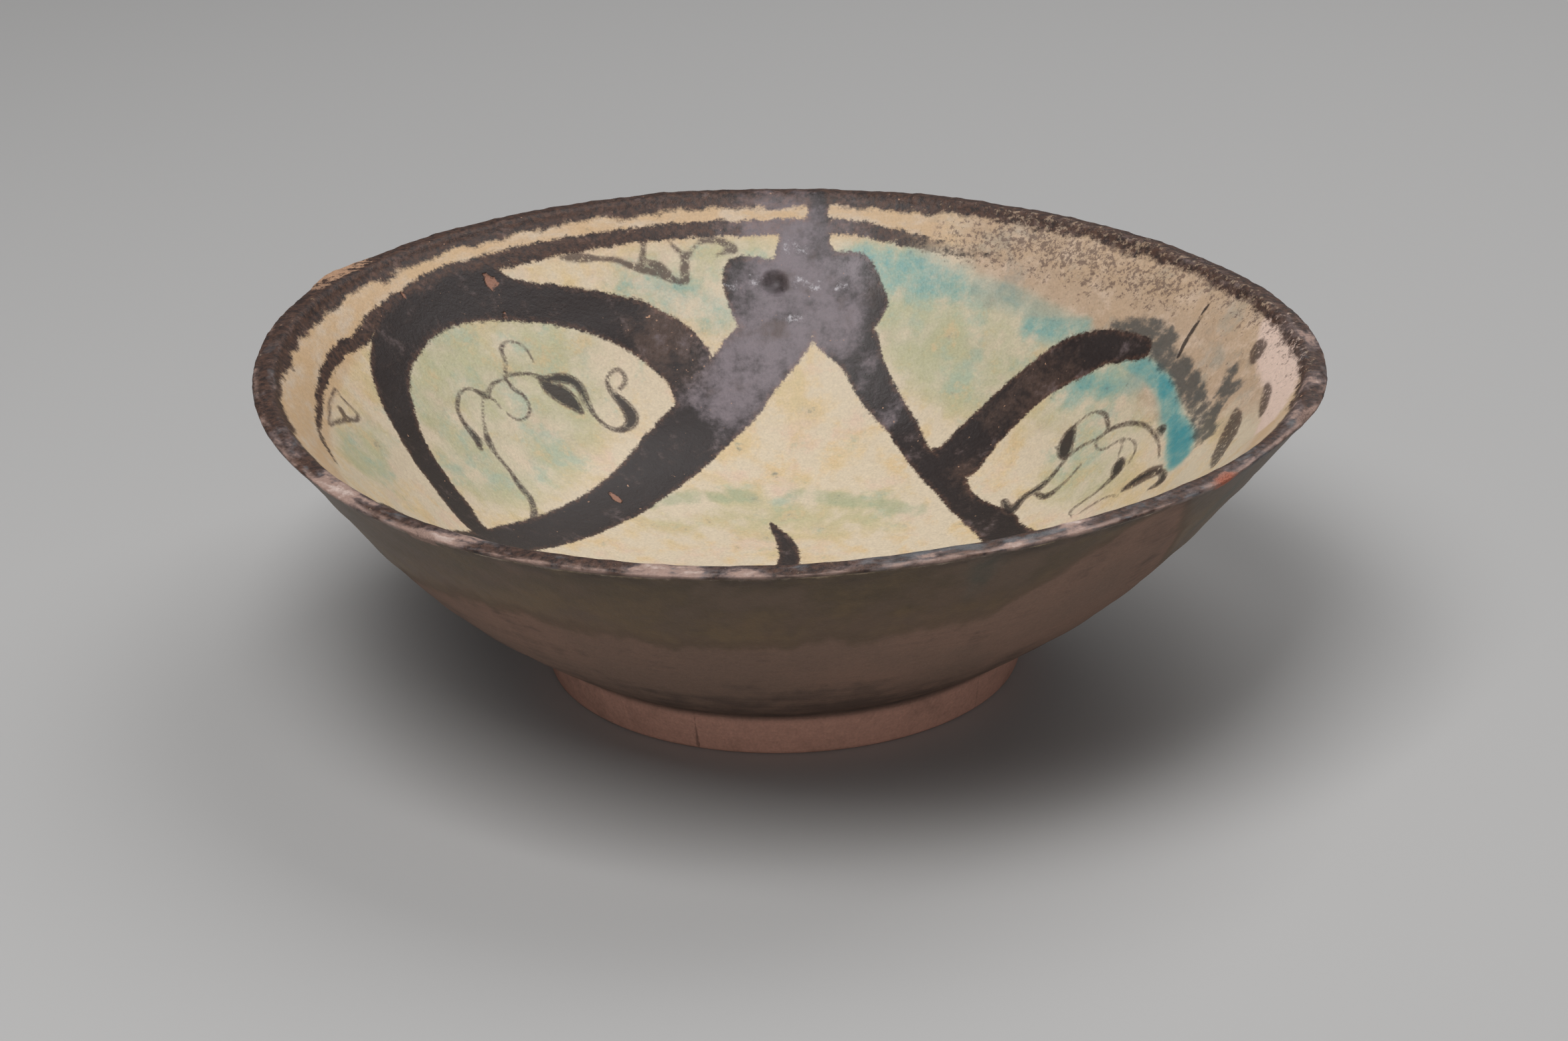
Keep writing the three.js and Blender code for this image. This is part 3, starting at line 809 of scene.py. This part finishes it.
# %% Store the fields
def keep(name, values, elsewhere):
    """Stores one number per point under a name. Values may cover the grid or only its flat part, and
    the two end points get the mean of the row beside them."""
    grid = np.full(angle.shape, float(elsewhere))
    if values.shape == angle.shape:
        grid = values
    else:
        grid[flat] = values
    whole = np.concatenate([grid.ravel(), [grid[0].mean(), grid[-1].mean()]]).astype(np.float32)
    mesh.attributes.new(name, "FLOAT", "POINT").data.foreach_set("value", whole)


DISTANCES = {
    "broad": broad, "thin": thin, "faint": faint, "ring": ring, "lip_band": lip_band, "scars": scars,
    "crack": crack, "foot_crack": foot_crack,
}
SHARES = {
    "pools": pools, "veil": veil, "streaks": streaks, "worn": worn, "buff": buff, "rosy": rosy,
    "smear": smear, "grey_and_sheen_paint": grey_and_sheen_paint, "brown_paint": brown_paint, "glint_spots": glint_spots,
    "pit_shade": pit_shade, "near_lip_wear": near_lip_wear, "crumbs": crumbs, "drips": drips,
    "spall": spall, "chipped": chipped, "redder": redder, "pale_lip": pale_lip, "dark_lip": dark_lip,
    "past_lip": past_lip, "glaze_above": glaze_above,
    "turn_sine": np.sin(angle), "turn_cosine": np.cos(angle),
}
for name, values in DISTANCES.items():
    keep(name, values, BARE)
for name, values in SHARES.items():
    keep(name, values, 0)
print("fields", len(DISTANCES) + len(SHARES))

# %% [markdown]
# ## Writing shader maths
# A material is a sum of layers. To keep it readable, a small class wraps a node's output, so that
# Python's own operators add the Math nodes, and one method adds any other node.

# %% The shader helper
material = bpy.data.materials.new("glazed_earthenware")
material.use_nodes = True
tree = material.node_tree
shader = tree.nodes["Principled BSDF"]


class Value:
    """One output of a shader node. Arithmetic on it adds Math nodes to the material."""

    def __init__(self, socket):
        self.socket = socket

    def math(self, operation, *others):
        return node("ShaderNodeMath", {"operation": operation}, dict(enumerate((self,) + others)))

    def __add__(self, other):
        return self.math("ADD", other)

    def __sub__(self, other):
        return self.math("SUBTRACT", other)

    def __mul__(self, other):
        return self.math("MULTIPLY", other)

    def __neg__(self):
        return self.math("MULTIPLY", -1.0)

    def __rsub__(self, other):
        return (-self).math("ADD", other)

    def most(self, other):
        return self.math("MAXIMUM", other)

    def eased(self, low, high):
        """0 below low and 1 above high, easing between them. It falls instead if low is above high."""
        if low > high:
            return 1 - self.eased(high, low)
        return node("ShaderNodeMapRange", {"interpolation_type": "SMOOTHSTEP"}, {
            "Value": self, "From Min": low, "From Max": high})


def node(kind, settings, inputs, output=0):
    """Adds a node: its settings first, then values or links for its sockets. Gives one output."""
    made = tree.nodes.new(kind)
    for name, setting in settings.items():
        setattr(made, name, setting)
    for key, value in inputs.items():
        socket = made.inputs[key]
        if isinstance(value, Value):
            tree.links.new(value.socket, socket)
        else:
            socket.default_value = value
    return Value(made.outputs[output])


print("the material starts with", len(tree.nodes), "nodes")


# %% Colours and layers
def colour(red, green, blue):
    """A screen colour from 0 to 255 as light: below 0.04 divided by 12.92, above it the power 2.4 of
    (value + 0.055) / 1.055."""
    screen = np.array([red, green, blue]) / 255
    light = np.where(screen <= 0.04045, screen / 12.92, ((screen + 0.055) / 1.055) ** 2.4)
    return tuple(float(v) for v in light) + (1.0,)


# The numbers of the Mix node's sockets for colours: its share, both inputs and its output.
MIX_SHARE, MIX_BELOW, MIX_ABOVE, MIX_RESULT = 0, 6, 7, 2


def layer(below, above, share, blend="MIX"):
    """Colour below with colour above laid over it by a share."""
    settings = {"data_type": "RGBA", "blend_type": blend}
    return node("ShaderNodeMix", settings, {MIX_SHARE: share, MIX_BELOW: below, MIX_ABOVE: above}, MIX_RESULT)


def field(name):
    """A number that was stored on the mesh."""
    return node("ShaderNodeAttribute", {"attribute_name": name}, {}, "Fac")


print("middle grey as light", round(colour(128, 128, 128)[0], 3))

# %% [markdown]
# ## Clay, slip, paint and glaze
# The layers go on as they did in the workshop. Clay comes first, then the cream slip with green and
# turquoise stains, then dark paint whose edge is the stored distance plus a little noise, then wear.
# Noise is measured in millimetres on Object coordinates, so every grain has its real size. Along the
# rim it is stretched round the bowl, as a brush or a thumb would drag it.

# %% Noise that the layers share
metres = node("ShaderNodeTexCoord", {}, {}, "Object")
place = node("ShaderNodeVectorMath", {"operation": "SCALE"}, {0: metres, "Scale": 1 / MM})


def noise(size, detail=3.0, roughness=0.6, where=place):
    """Noise about zero, mostly between -1 and 1, whose lumps are size millimetres across."""
    made = node("ShaderNodeTexNoise", {}, {
        "Vector": where, "Scale": 1 / size, "Detail": detail, "Roughness": roughness})
    return (made - 0.5) * 4


RIM_STRETCH = 2.5
lip_distance = field("past_lip")
along_rim = node("ShaderNodeCombineXYZ", {}, {
    "X": field("turn_cosine") * (RIM_RADIUS / RIM_STRETCH),
    "Y": field("turn_sine") * (RIM_RADIUS / RIM_STRETCH),
    "Z": lip_distance})
grain = noise(0.5, 2)
speck = noise(1.2, 3, 0.65)
mottle = noise(3.4, 4, 0.65)
blotch = noise(7, 4)
cloud = noise(20, 3)
wide_cloud = noise(55, 2)
streak = noise(1.6, 4, 0.7, along_rim)
print("shared noises, nodes so far", len(tree.nodes))

# %% [markdown]
# The slip is cream where it is thick and the firing was clean. Under the glaze it turned green,
# bluish or rosy in clouds, copper ran into turquoise pools, and burial left a tan, grey and brown
# crust on the right. Each is one colour laid over the last by a soft field broken up with noise.

# %% Slip and glaze
CREAM = colour(213, 197, 172)
CREAM_WARM = colour(216, 190, 148)
CREAM_ROSY = colour(216, 190, 168)
WARM_PATCH = colour(220, 188, 144)
GREEN_VEIL = colour(170, 177, 144)
BLUE_VEIL = colour(163, 182, 164)
GREEN_STREAK = colour(156, 168, 138)
TURQUOISE = colour(130, 172, 164)
TURQUOISE_DEEP = colour(54, 142, 152)


def slip_and_glaze():
    """The inside before it was painted. Gives its colour and the share of the pools."""
    slip = layer(CREAM, CREAM_WARM, (cloud * 0.7 + blotch * 0.7 + mottle * 0.4 + 0.3).eased(0, 1))
    slip = layer(slip, CREAM_ROSY, (noise(12, 4, 0.65) * 0.9 + mottle * 0.4).eased(0.0, 0.9) * 0.9)
    veiled = field("veil") * 0.8 + cloud * 0.5 + blotch * 0.4 + mottle * 0.2 - 0.1
    slip = layer(slip, GREEN_VEIL, veiled.eased(0, 1) * 0.72)
    blue_patch = noise(11, 4, 0.7) * 0.9 + field("veil") * 0.45 + mottle * 0.3 - 0.35
    slip = layer(slip, BLUE_VEIL, blue_patch.eased(0, 0.7) * 0.6)
    warm_patch = noise(7, 4, 0.7) + mottle * 0.4 - 0.2
    slip = layer(slip, WARM_PATCH, warm_patch.eased(0, 0.7) * 0.6)
    streaked = field("streaks") + blotch * 0.4 + mottle * 0.3 - 0.5
    slip = layer(slip, GREEN_STREAK, streaked.eased(0, 0.7) * 0.55)
    copper = field("pools")
    pool_share = (copper + blotch * 0.24 + mottle * 0.2 + speck * 0.1).eased(0.1, 0.85)
    slip = layer(slip, TURQUOISE, pool_share * 0.9)
    deep = (copper + blotch * 0.16 + mottle * 0.2 + speck * 0.08).eased(0.55, 1.15)
    return layer(slip, TURQUOISE_DEEP, deep * 0.9), pool_share


slip, pool_share = slip_and_glaze()
print("slip and glaze, nodes so far", len(tree.nodes))

# %% Stains of burial
TAN = colour(188, 161, 136)
TAN_PALE = colour(208, 183, 161)
TAN_BROWN = colour(150, 124, 100)
TAN_GREY = colour(150, 150, 142)
BUFF = colour(203, 170, 132)
BUFF_PALE = colour(206, 186, 164)
ROSY = colour(228, 202, 188)


def stained(below):
    """The tan crust, the buff edge under the lip and the rosy place. Gives the colour and the crust."""
    off_pools = 1 - field("pools").eased(0.35, 0.8)
    crust = (field("worn") + blotch * 0.28 + mottle * 0.16 + speck * 0.1).eased(0.2, 0.85) * off_pools
    tan = layer(TAN, TAN_PALE, (noise(4.5, 4, 0.7) * 0.9 + 0.15).eased(0, 0.9))
    tan = layer(tan, TAN_BROWN, (noise(2.6, 4, 0.75) * 0.9 - 0.1).eased(0, 0.8) * 0.6)
    tan = layer(tan, TAN_GREY, (noise(10, 4, 0.65) - 0.1).eased(0, 0.7) * 0.6)
    below = layer(below, tan, crust * 0.9)
    buff_tone = layer(BUFF, BUFF_PALE, (noise(3.5, 4, 0.65, along_rim) * 0.8 + 0.25).eased(0, 1))
    buff_share = (field("buff") + streak * 0.15).eased(0.2, 0.8) * (1 - crust * 0.8)
    below = layer(below, buff_tone, buff_share * 0.85)
    rosy_share = (field("rosy") + mottle * 0.25 + streak * 0.15).eased(0.2, 0.8)
    return layer(below, ROSY, rosy_share * 0.9), crust


inner, crust = stained(slip)
print("stains, nodes so far", len(tree.nodes))

# %% [markdown]
# The paint is nearly black, and turned brown where the glaze over it decayed. On the far knot and the
# upper straps it is greyer, partly its own thin and decayed tone and partly a painted sheen, a highlight
# of the glaze laid into the colour. Its edges are ragged by less than a millimetre: the stored distance
# plus fine noise, eased over 0.6 millimetres. The thin strokes were drawn half dry, so noise opens them
# up, and the ring wears off on the right.

# %% Dark paint
PAINT = colour(46, 38, 37)
# Light grey of the far knot's paint: partly thin, decayed paint and partly a painted sheen.
PAINT_GREY_AND_SHEEN = colour(134, 123, 129)
PAINT_BROWN = colour(84, 66, 58)
PAINT_FRINGE = colour(130, 92, 72)
SMEAR = colour(66, 71, 72)
ragged = grain * 0.24 + speck * 0.24


def paint_colour(depth):
    """Black to brown, greyed on the far knot partly by decay and partly as a painted sheen, with a thinner
    brown fringe and painted shade in the pit. Depth is negative inside.
    """
    grey_and_sheen = field("grey_and_sheen_paint")
    browned = blotch * 0.5 + mottle * 0.4 + speck * 0.3 + field("brown_paint") * 0.8
    tone = layer(PAINT, PAINT_BROWN, browned.eased(0, 1.2))
    # Painted sheen: this grey is partly a highlight of the glaze laid into the paint's colour.
    greyed_and_sheen = grey_and_sheen * 0.95 + blotch * 0.45 + mottle * 0.3 + speck * 0.2 - 0.05
    tone = layer(tone, PAINT_GREY_AND_SHEEN, greyed_and_sheen.eased(0.1, 1.15) * 0.85)
    brown_again = (noise(9, 3) * 0.9 + grey_and_sheen * 0.3 - 0.35).eased(0, 0.8) * grey_and_sheen
    tone = layer(tone, PAINT_BROWN, brown_again * 0.7)
    fringe = depth.eased(-1.3, 0.0) * (speck * 0.5 + 0.5).eased(0, 1)
    tone = layer(tone, PAINT_FRINGE, fringe * 0.4)
    # Painted shade: the paint is darkened inside the pit.
    return layer(tone, PAINT, field("pit_shade") * 0.6)


def broad_paint(below):
    """Straps, loops and knots, the lip's band and its ring. Gives the colour and the paint's share."""
    depth = field("broad") + ragged + noise(3.2, 2) * 0.16
    dirt = field("worn")
    flaked = (field("near_lip_wear") * 0.55 + noise(1.6, 4, 0.75) - 0.6).eased(0, 0.4)
    band_depth = field("lip_band") + streak * 0.25 + ragged + blotch * 0.4 + mottle * 0.45 + dirt * 0.4
    band_share = band_depth.eased(0.5, -0.5) * (1 - flaked * 0.6)
    ring_depth = field("ring") + ragged * 1.6 + streak * 0.15 + mottle * 0.5 + dirt * 0.4
    ring_worn = dirt.eased(0.1, 0.6) * (speck * 0.5 + mottle * 0.35 + 0.55).eased(0, 0.8)
    ring_share = ring_depth.eased(0.4, -0.5) * (1 - flaked * 0.6) * (1 - ring_worn * 0.9)
    share = depth.eased(0.3, -0.3).most(band_share).most(ring_share)
    return layer(below, paint_colour(depth), share), share


print("the paint's edge is ragged by about", 0.4 * (0.24 + 0.24), "mm")


# %% Thin and faint strokes
def faint_strokes(below):
    """The worn smear and the half lost marks under the rim, which lie under the broad paint."""
    smeared = (field("smear") + blotch * 0.25 + mottle * 0.5 + speck * 0.15 - 0.35).eased(0, 0.65)
    below = layer(below, SMEAR, smeared * 0.85)
    faint_share = (field("faint") + ragged + mottle * 0.3).eased(0.6, -0.7) * dry_brush
    tone = layer(PAINT_BROWN, PAINT, field("faint").eased(-0.5, -1.8) * 0.6)
    return layer(below, tone, faint_share.eased(0, 0.8) * 0.88)


def thin_strokes(below):
    """The scrolls, solid in the middle of wide strokes and open where the brush ran dry."""
    depth = field("thin") + ragged * 0.8
    share = depth.eased(0.25, -0.3) * dry_brush.most(depth.eased(-0.4, -0.9)) * 0.95
    return layer(below, layer(PAINT_BROWN, PAINT, depth.eased(0.0, -0.9)), share)


dry_brush = (speck * 0.45 + grain * 0.3 + 0.66).eased(0, 0.9)
inner = faint_strokes(inner)
inner, paint_share = broad_paint(inner)
inner = thin_strokes(inner)
print("paint, nodes so far", len(tree.nodes))

# %% [markdown]
# Age left small things on top: dark speckles in the crust, scars where slip and paint flaked off to
# the clay, pale flecks and a crack on the right. Small white glints on the glaze of the far knot are
# painted highlights.

# %% Flakes, specks and cracks
SPECKLE = colour(104, 84, 76)
SCAR = colour(156, 112, 92)
FLECK = colour(190, 148, 120)
# The white of the painted glints, highlights laid into the colour.
PAINTED_GLINT = colour(204, 200, 206)


def aged(below):
    """Speckles, scars, flecks, painted white glints and the crack, over slip and paint alike."""
    dirt = field("worn")
    crowd = field("near_lip_wear") * 0.45 + field("crumbs") * 0.45 + dirt * 0.12
    speckles = (noise(1.1, 4, 0.8) * 0.9 + mottle * 0.35 + crowd).eased(0.6, 0.95)
    below = layer(below, SPECKLE, speckles * dirt.eased(0.1, 0.6) * 0.75)
    below = layer(below, SCAR, (field("scars") + speck * 0.3).eased(0.2, -0.2) * 0.9)
    flecks = (noise(1.0, 2, 0.5) + field("brown_paint") * 0.25).eased(0.95, 1.15)
    below = layer(below, FLECK, flecks * paint_share * 0.8)
    # Painted highlights: small white glints of the glaze on the far knot.
    glint_field = field("glint_spots")
    painted_glints = (glint_field * 0.8 + noise(1.3, 4, 0.75) * 0.7).eased(0.6, 1.3) * glint_field.eased(0, 0.4)
    below = layer(below, PAINTED_GLINT, painted_glints * 0.8)
    return layer(below, PAINT, (field("crack") + speck * 0.15).eased(0.2, -0.1) * 0.9)


inner = aged(inner)
print("flakes and specks, nodes so far", len(tree.nodes))

# %% [markdown]
# Use rubbed the lip's top. It went grey, then pinkish clay came through, most of all at the front, and
# some stretches kept their dark paint. Noise stretched along the rim makes patches that follow it.

# %% The rubbed lip
LIP_PINK = colour(168, 140, 128)
LIP_PALE = colour(208, 188, 178)
LIP_GREY = colour(104, 90, 88)
LIP_BLUE = colour(112, 116, 120)


def rubbed_lip(below):
    """Wear of the lip's top and outer corner, mostly on the near side."""
    near_side = field("turn_sine").eased(0.4, -0.5)
    patches = noise(3.6, 3, 0.55, along_rim) * 0.8 + noise(10, 3, 0.6, along_rim) * 0.5
    marked = field("pale_lip") - field("dark_lip")
    wear_share = patches + speck * 0.2 + near_side * 0.5 + marked * 0.6 - 0.55
    below = layer(below, LIP_GREY, wear_share.eased(-0.1, 0.4) * on_top * 0.85)
    blue_share = (noise(4.5, 3, 0.6, along_rim) - 0.15).eased(0, 0.5) * near_side * on_top
    below = layer(below, LIP_BLUE, blue_share * 0.6)
    rubbed = wear_share.eased(0.25, 0.65) * on_top
    below = layer(below, LIP_PINK, rubbed * 0.9)
    below = layer(below, LIP_PALE, (wear_share + streak * 0.25).eased(0.65, 1.1) * on_top * 0.85)
    corner = lip_distance.eased(-1.6, -0.3) * lip_distance.eased(1.6, 0.4)
    corner_wear = (noise(2.4, 3, 0.6, along_rim) * 0.7 + near_side * 0.6 - 0.15).eased(0.1, 0.8)
    return layer(below, LIP_PINK, corner * corner_wear * 0.8)


on_top = lip_distance.eased(-6.5, -4.2) * lip_distance.eased(2.2, 1.0)
inner = rubbed_lip(inner)
print("lip, nodes so far", len(tree.nodes))

# %% [markdown]
# Outside, the bare clay is banded by the turning tool and darker near the foot, the ring foot is
# cleaner and pinker, and the green-brown glaze has a darker line where it gathered at its lower edge.

# %% The outside's clay
CLAY = colour(127, 103, 89)
CLAY_PINK = colour(142, 112, 96)
CLAY_DARK = colour(82, 69, 61)
FOOT_CLAY = colour(220, 167, 147)
height = node("ShaderNodeSeparateXYZ", {}, {0: place}, 2)
level_band = noise(2.4, 3, 0.7, node("ShaderNodeCombineXYZ", {}, {"Z": height}))


def bare_clay():
    """Clay of the wall and of the foot, with turned bands, grooves, cracks and a shaded joint."""
    clay = layer(CLAY, CLAY_PINK, (wide_cloud * 0.6 + cloud * 0.5 + 0.3).eased(0, 1))
    low_shade = height.eased(32, 14) * 0.55
    clouded = level_band * 0.4 + cloud * 0.5 + blotch * 0.35 + mottle * 0.2 + low_shade
    clay = layer(clay, CLAY_DARK, clouded.eased(0, 1) * 0.75)
    foot = height.eased(FOOT_HEIGHT + 0.4, FOOT_HEIGHT - 1.4)
    clay = layer(clay, FOOT_CLAY, foot * (blotch * 0.4 + 0.9).eased(0, 1) * 0.9)
    grooves = foot * (level_band * 0.7 + mottle * 0.3 - 0.1).eased(0, 0.8)
    clay = layer(clay, CLAY_DARK, grooves * 0.45)
    clay = layer(clay, CLAY_DARK, (field("foot_crack") + speck * 0.15).eased(0.35, 0.0) * 0.5)
    below_joint = height.eased(FOOT_HEIGHT - 2.2, FOOT_HEIGHT - 0.2)
    above_joint = height.eased(FOOT_HEIGHT + 3, FOOT_HEIGHT + 0.3)
    return layer(clay, CLAY_DARK, below_joint * above_joint * 0.5)


outer = bare_clay()
print("clay, nodes so far", len(tree.nodes))

# %% The outside's glaze
OLIVE = colour(78, 67, 47)
OLIVE_PALE = colour(113, 93, 66)
DRIP_GREEN = colour(50, 68, 58)


def glazed_outside(below):
    """Thin glaze with drips, its gathered edge and dark dribbles. Gives the colour and its share."""
    lighter = cloud * 0.6 + blotch * 0.4 + mottle * 0.3 + height.eased(58, 44) * 0.6
    tone = layer(OLIVE, OLIVE_PALE, lighter.eased(0, 1))
    tone = layer(tone, DRIP_GREEN, (field("drips") + blotch * 0.25 + mottle * 0.15).eased(0.2, 1.0) * 0.8)
    depth = field("glaze_above") + blotch * 1.2 + mottle * 0.6
    share = depth.eased(-3.0, 4.0)
    thinned = (cloud * 0.5 + blotch * 0.5 + 0.6).eased(0, 1) * 0.35 + 0.5
    below = layer(below, tone, share * thinned)
    below = layer(below, OLIVE, depth.eased(-2.4, 0.0) * depth.eased(3.0, 0.4) * 0.35)
    dribble = lip_distance.eased(6, 1) * (noise(6, 4, 0.7, along_rim) * 0.6 + 0.3).eased(0, 1)
    return layer(below, PAINT, dribble * 0.75), share


outer, glaze_share = glazed_outside(outer)
print("outer glaze, nodes so far", len(tree.nodes))

# %% [markdown]
# Inside and outside meet along the lip's corner, and where the lip broke, the clay's own colour shows.
# Then the same shares steer the gloss and the relief: glaze is satin, pools are glassier, clay is
# dull and coarse. A bump is enough here, because this relief is at most a quarter of a millimetre
# deep; the throwing rings, the lip's dips, the chips and the pit are real geometry.

# %% Inside, outside and broken places
BROKEN_CLAY = colour(206, 164, 132)
RED_CLAY = colour(192, 112, 86)
outside_share = (lip_distance + speck * 0.25 + noise(4, 3) * 0.4).eased(0.2, 1.4)
whole = layer(inner, outer, outside_share)
scaled = field("spall")
broken_share = (scaled + mottle * 0.5 + speck * 0.3).eased(0.3, 0.6) * scaled.eased(0, 0.25)
broken_tone = layer(BROKEN_CLAY, CLAY, (mottle * 0.7 + speck * 0.5 - 0.1).eased(0, 0.7))
whole = layer(whole, broken_tone, broken_share * 0.88)
knocked = field("chipped")
chip_share = (knocked + mottle * 0.2 + speck * 0.15).eased(0.3, 0.7) * knocked.eased(0, 0.2)
whole = layer(whole, layer(LIP_PINK, RED_CLAY, field("redder")), chip_share * 0.85)
dust = grain * 0.1 + speck * 0.06 + 1.0
dust_grey = node("ShaderNodeCombineColor", {}, {"Red": dust, "Green": dust, "Blue": dust})
whole = layer(whole, dust_grey, 1.0, "MULTIPLY")
tree.links.new(whole.socket, shader.inputs["Base Color"])
print("whole colour, nodes so far", len(tree.nodes))

# %% Gloss and relief
GLAZE_ROUGHNESS = 0.46
CLAY_ROUGHNESS = 0.85
GLAZE_IOR = 1.4
bare_share = ((1 - glaze_share) * outside_share).most(broken_share).most(chip_share)
gloss = pool_share * -0.1 + crust * 0.14 + grain * 0.03 + speck * 0.04 + GLAZE_ROUGHNESS
rough = gloss * (1 - bare_share) + bare_share * CLAY_ROUGHNESS
tree.links.new(rough.socket, shader.inputs["Roughness"])
shader.inputs["IOR"].default_value = GLAZE_IOR

# Relief is in millimetres.
coarse = noise(1.1, 4, 0.7)
relief = grain * 0.012 + speck * 0.02 + blotch * 0.05
relief = relief - bare_share * (coarse * 0.06 + level_band * 0.07)
relief = relief - (field("scars") + speck * 0.2).eased(0.3, -0.2) * 0.25
relief = relief - field("crack").eased(0.3, -0.1) * 0.2
relief = relief - field("foot_crack").eased(0.3, 0.0) * 0.08
relief = relief - (on_top * 0.5 + broken_share + chip_share) * coarse * 0.12
bump = node("ShaderNodeBump", {}, {"Strength": 1.0, "Distance": MM, "Height": relief})
tree.links.new(bump.socket, shader.inputs["Normal"])
mesh.materials.append(material)
print("material nodes", len(tree.nodes))

# %% [markdown]
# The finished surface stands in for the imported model's one node. It rides on the only body there is,
# so it stays with the model wherever that is put.

# %% Tie the surface to the model
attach(bowl, "root")
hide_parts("bowl")
print("surface", bowl.name, "stands in for the node bowl")

# %% [markdown]
# ## The setting
# The bowl stands on a plain pale floor in soft light from above and in front, which brightens the
# inside and leaves the overhanging front of the wall in its own shade.

# %% Floor
FLOOR_HALF = 3.0
floor_corners = [(x * FLOOR_HALF, y * FLOOR_HALF, 0) for x, y in ((-1, -1), (1, -1), (1, 1), (-1, 1))]
floor_mesh = bpy.data.meshes.new("floor")
floor_mesh.from_pydata(floor_corners, [], [(0, 1, 2, 3)])
floor = bpy.data.objects.new("floor", floor_mesh)
bpy.context.scene.collection.objects.link(floor)
floor_material = bpy.data.materials.new("pale_floor")
floor_material.use_nodes = True
floor_shader = floor_material.node_tree.nodes["Principled BSDF"]
floor_shader.inputs["Base Color"].default_value = (0.48, 0.475, 0.47, 1)
floor_shader.inputs["Roughness"].default_value = 0.8
floor_mesh.materials.append(floor_material)
print("floor side in metres", 2 * FLOOR_HALF)


# %% Lights
def soft_light(name, place, size, power, aim=(0, 0, 0.03)):
    """A square lamp at a place in metres that faces the aim."""
    lamp = bpy.data.lights.new(name, "AREA")
    lamp.size = size
    lamp.energy = power
    holder = bpy.data.objects.new(name, lamp)
    place, aim = Vector(place), Vector(aim)
    turn = (place - aim).to_track_quat("Z", "Y").to_matrix().to_4x4()
    holder.matrix_world = Matrix.Translation(place) @ turn
    bpy.context.scene.collection.objects.link(holder)


soft_light("key", (-0.25, -0.45, 1.1), 0.7, 9.8)
soft_light("fill", (0.4, 0.45, 0.95), 0.8, 4.5)
soft_light("low_front", (0.1, -1.3, 0.3), 0.6, 2.2)
world = bpy.data.worlds.new("studio")
bpy.context.scene.world = world
world.use_nodes = True
sky = world.node_tree.nodes["Background"]
sky.inputs["Color"].default_value = (0.98, 0.98, 1.0, 1)
sky.inputs["Strength"].default_value = 0.11
bpy.context.scene.view_settings.view_transform = "Standard"
print("lamps", len(bpy.data.lights))

# %% [markdown]
# ## The camera
# The camera's place was worked out from the rim, the foot and both side outlines together. It looks
# down at 23 degrees from 70 cm, with a lens that is long for its picture.

# %% Camera
PICTURE_WIDTH = 2361
FOCAL_PIXELS = 5500
SENSOR = 36.0
DISTANCE = 702.57
LOOK_DOWN = math.radians(23.318)
ROLL = math.radians(-1.143)
TARGET = Vector((0.294, 0, 27.286))
right = Vector((1, 0, 0))
up = Vector((0, math.sin(LOOK_DOWN), math.cos(LOOK_DOWN)))
back = Vector((0, -math.cos(LOOK_DOWN), math.sin(LOOK_DOWN)))
rolled_right = right * math.cos(ROLL) + up * math.sin(ROLL)
rolled_up = up * math.cos(ROLL) - right * math.sin(ROLL)
lens = bpy.data.cameras.new("camera")
lens.sensor_width = SENSOR
lens.lens = SENSOR * FOCAL_PIXELS / PICTURE_WIDTH
lens.clip_start = 0.01
camera = bpy.data.objects.new("camera", lens)
axes = Matrix((rolled_right, rolled_up, back)).transposed().to_4x4()
camera.matrix_world = Matrix.Translation((TARGET + back * DISTANCE) * MM) @ axes
bpy.context.scene.collection.objects.link(camera)
bpy.context.scene.camera = camera
print("lens of", round(lens.lens, 1), "mm on a sensor", SENSOR, "mm wide")
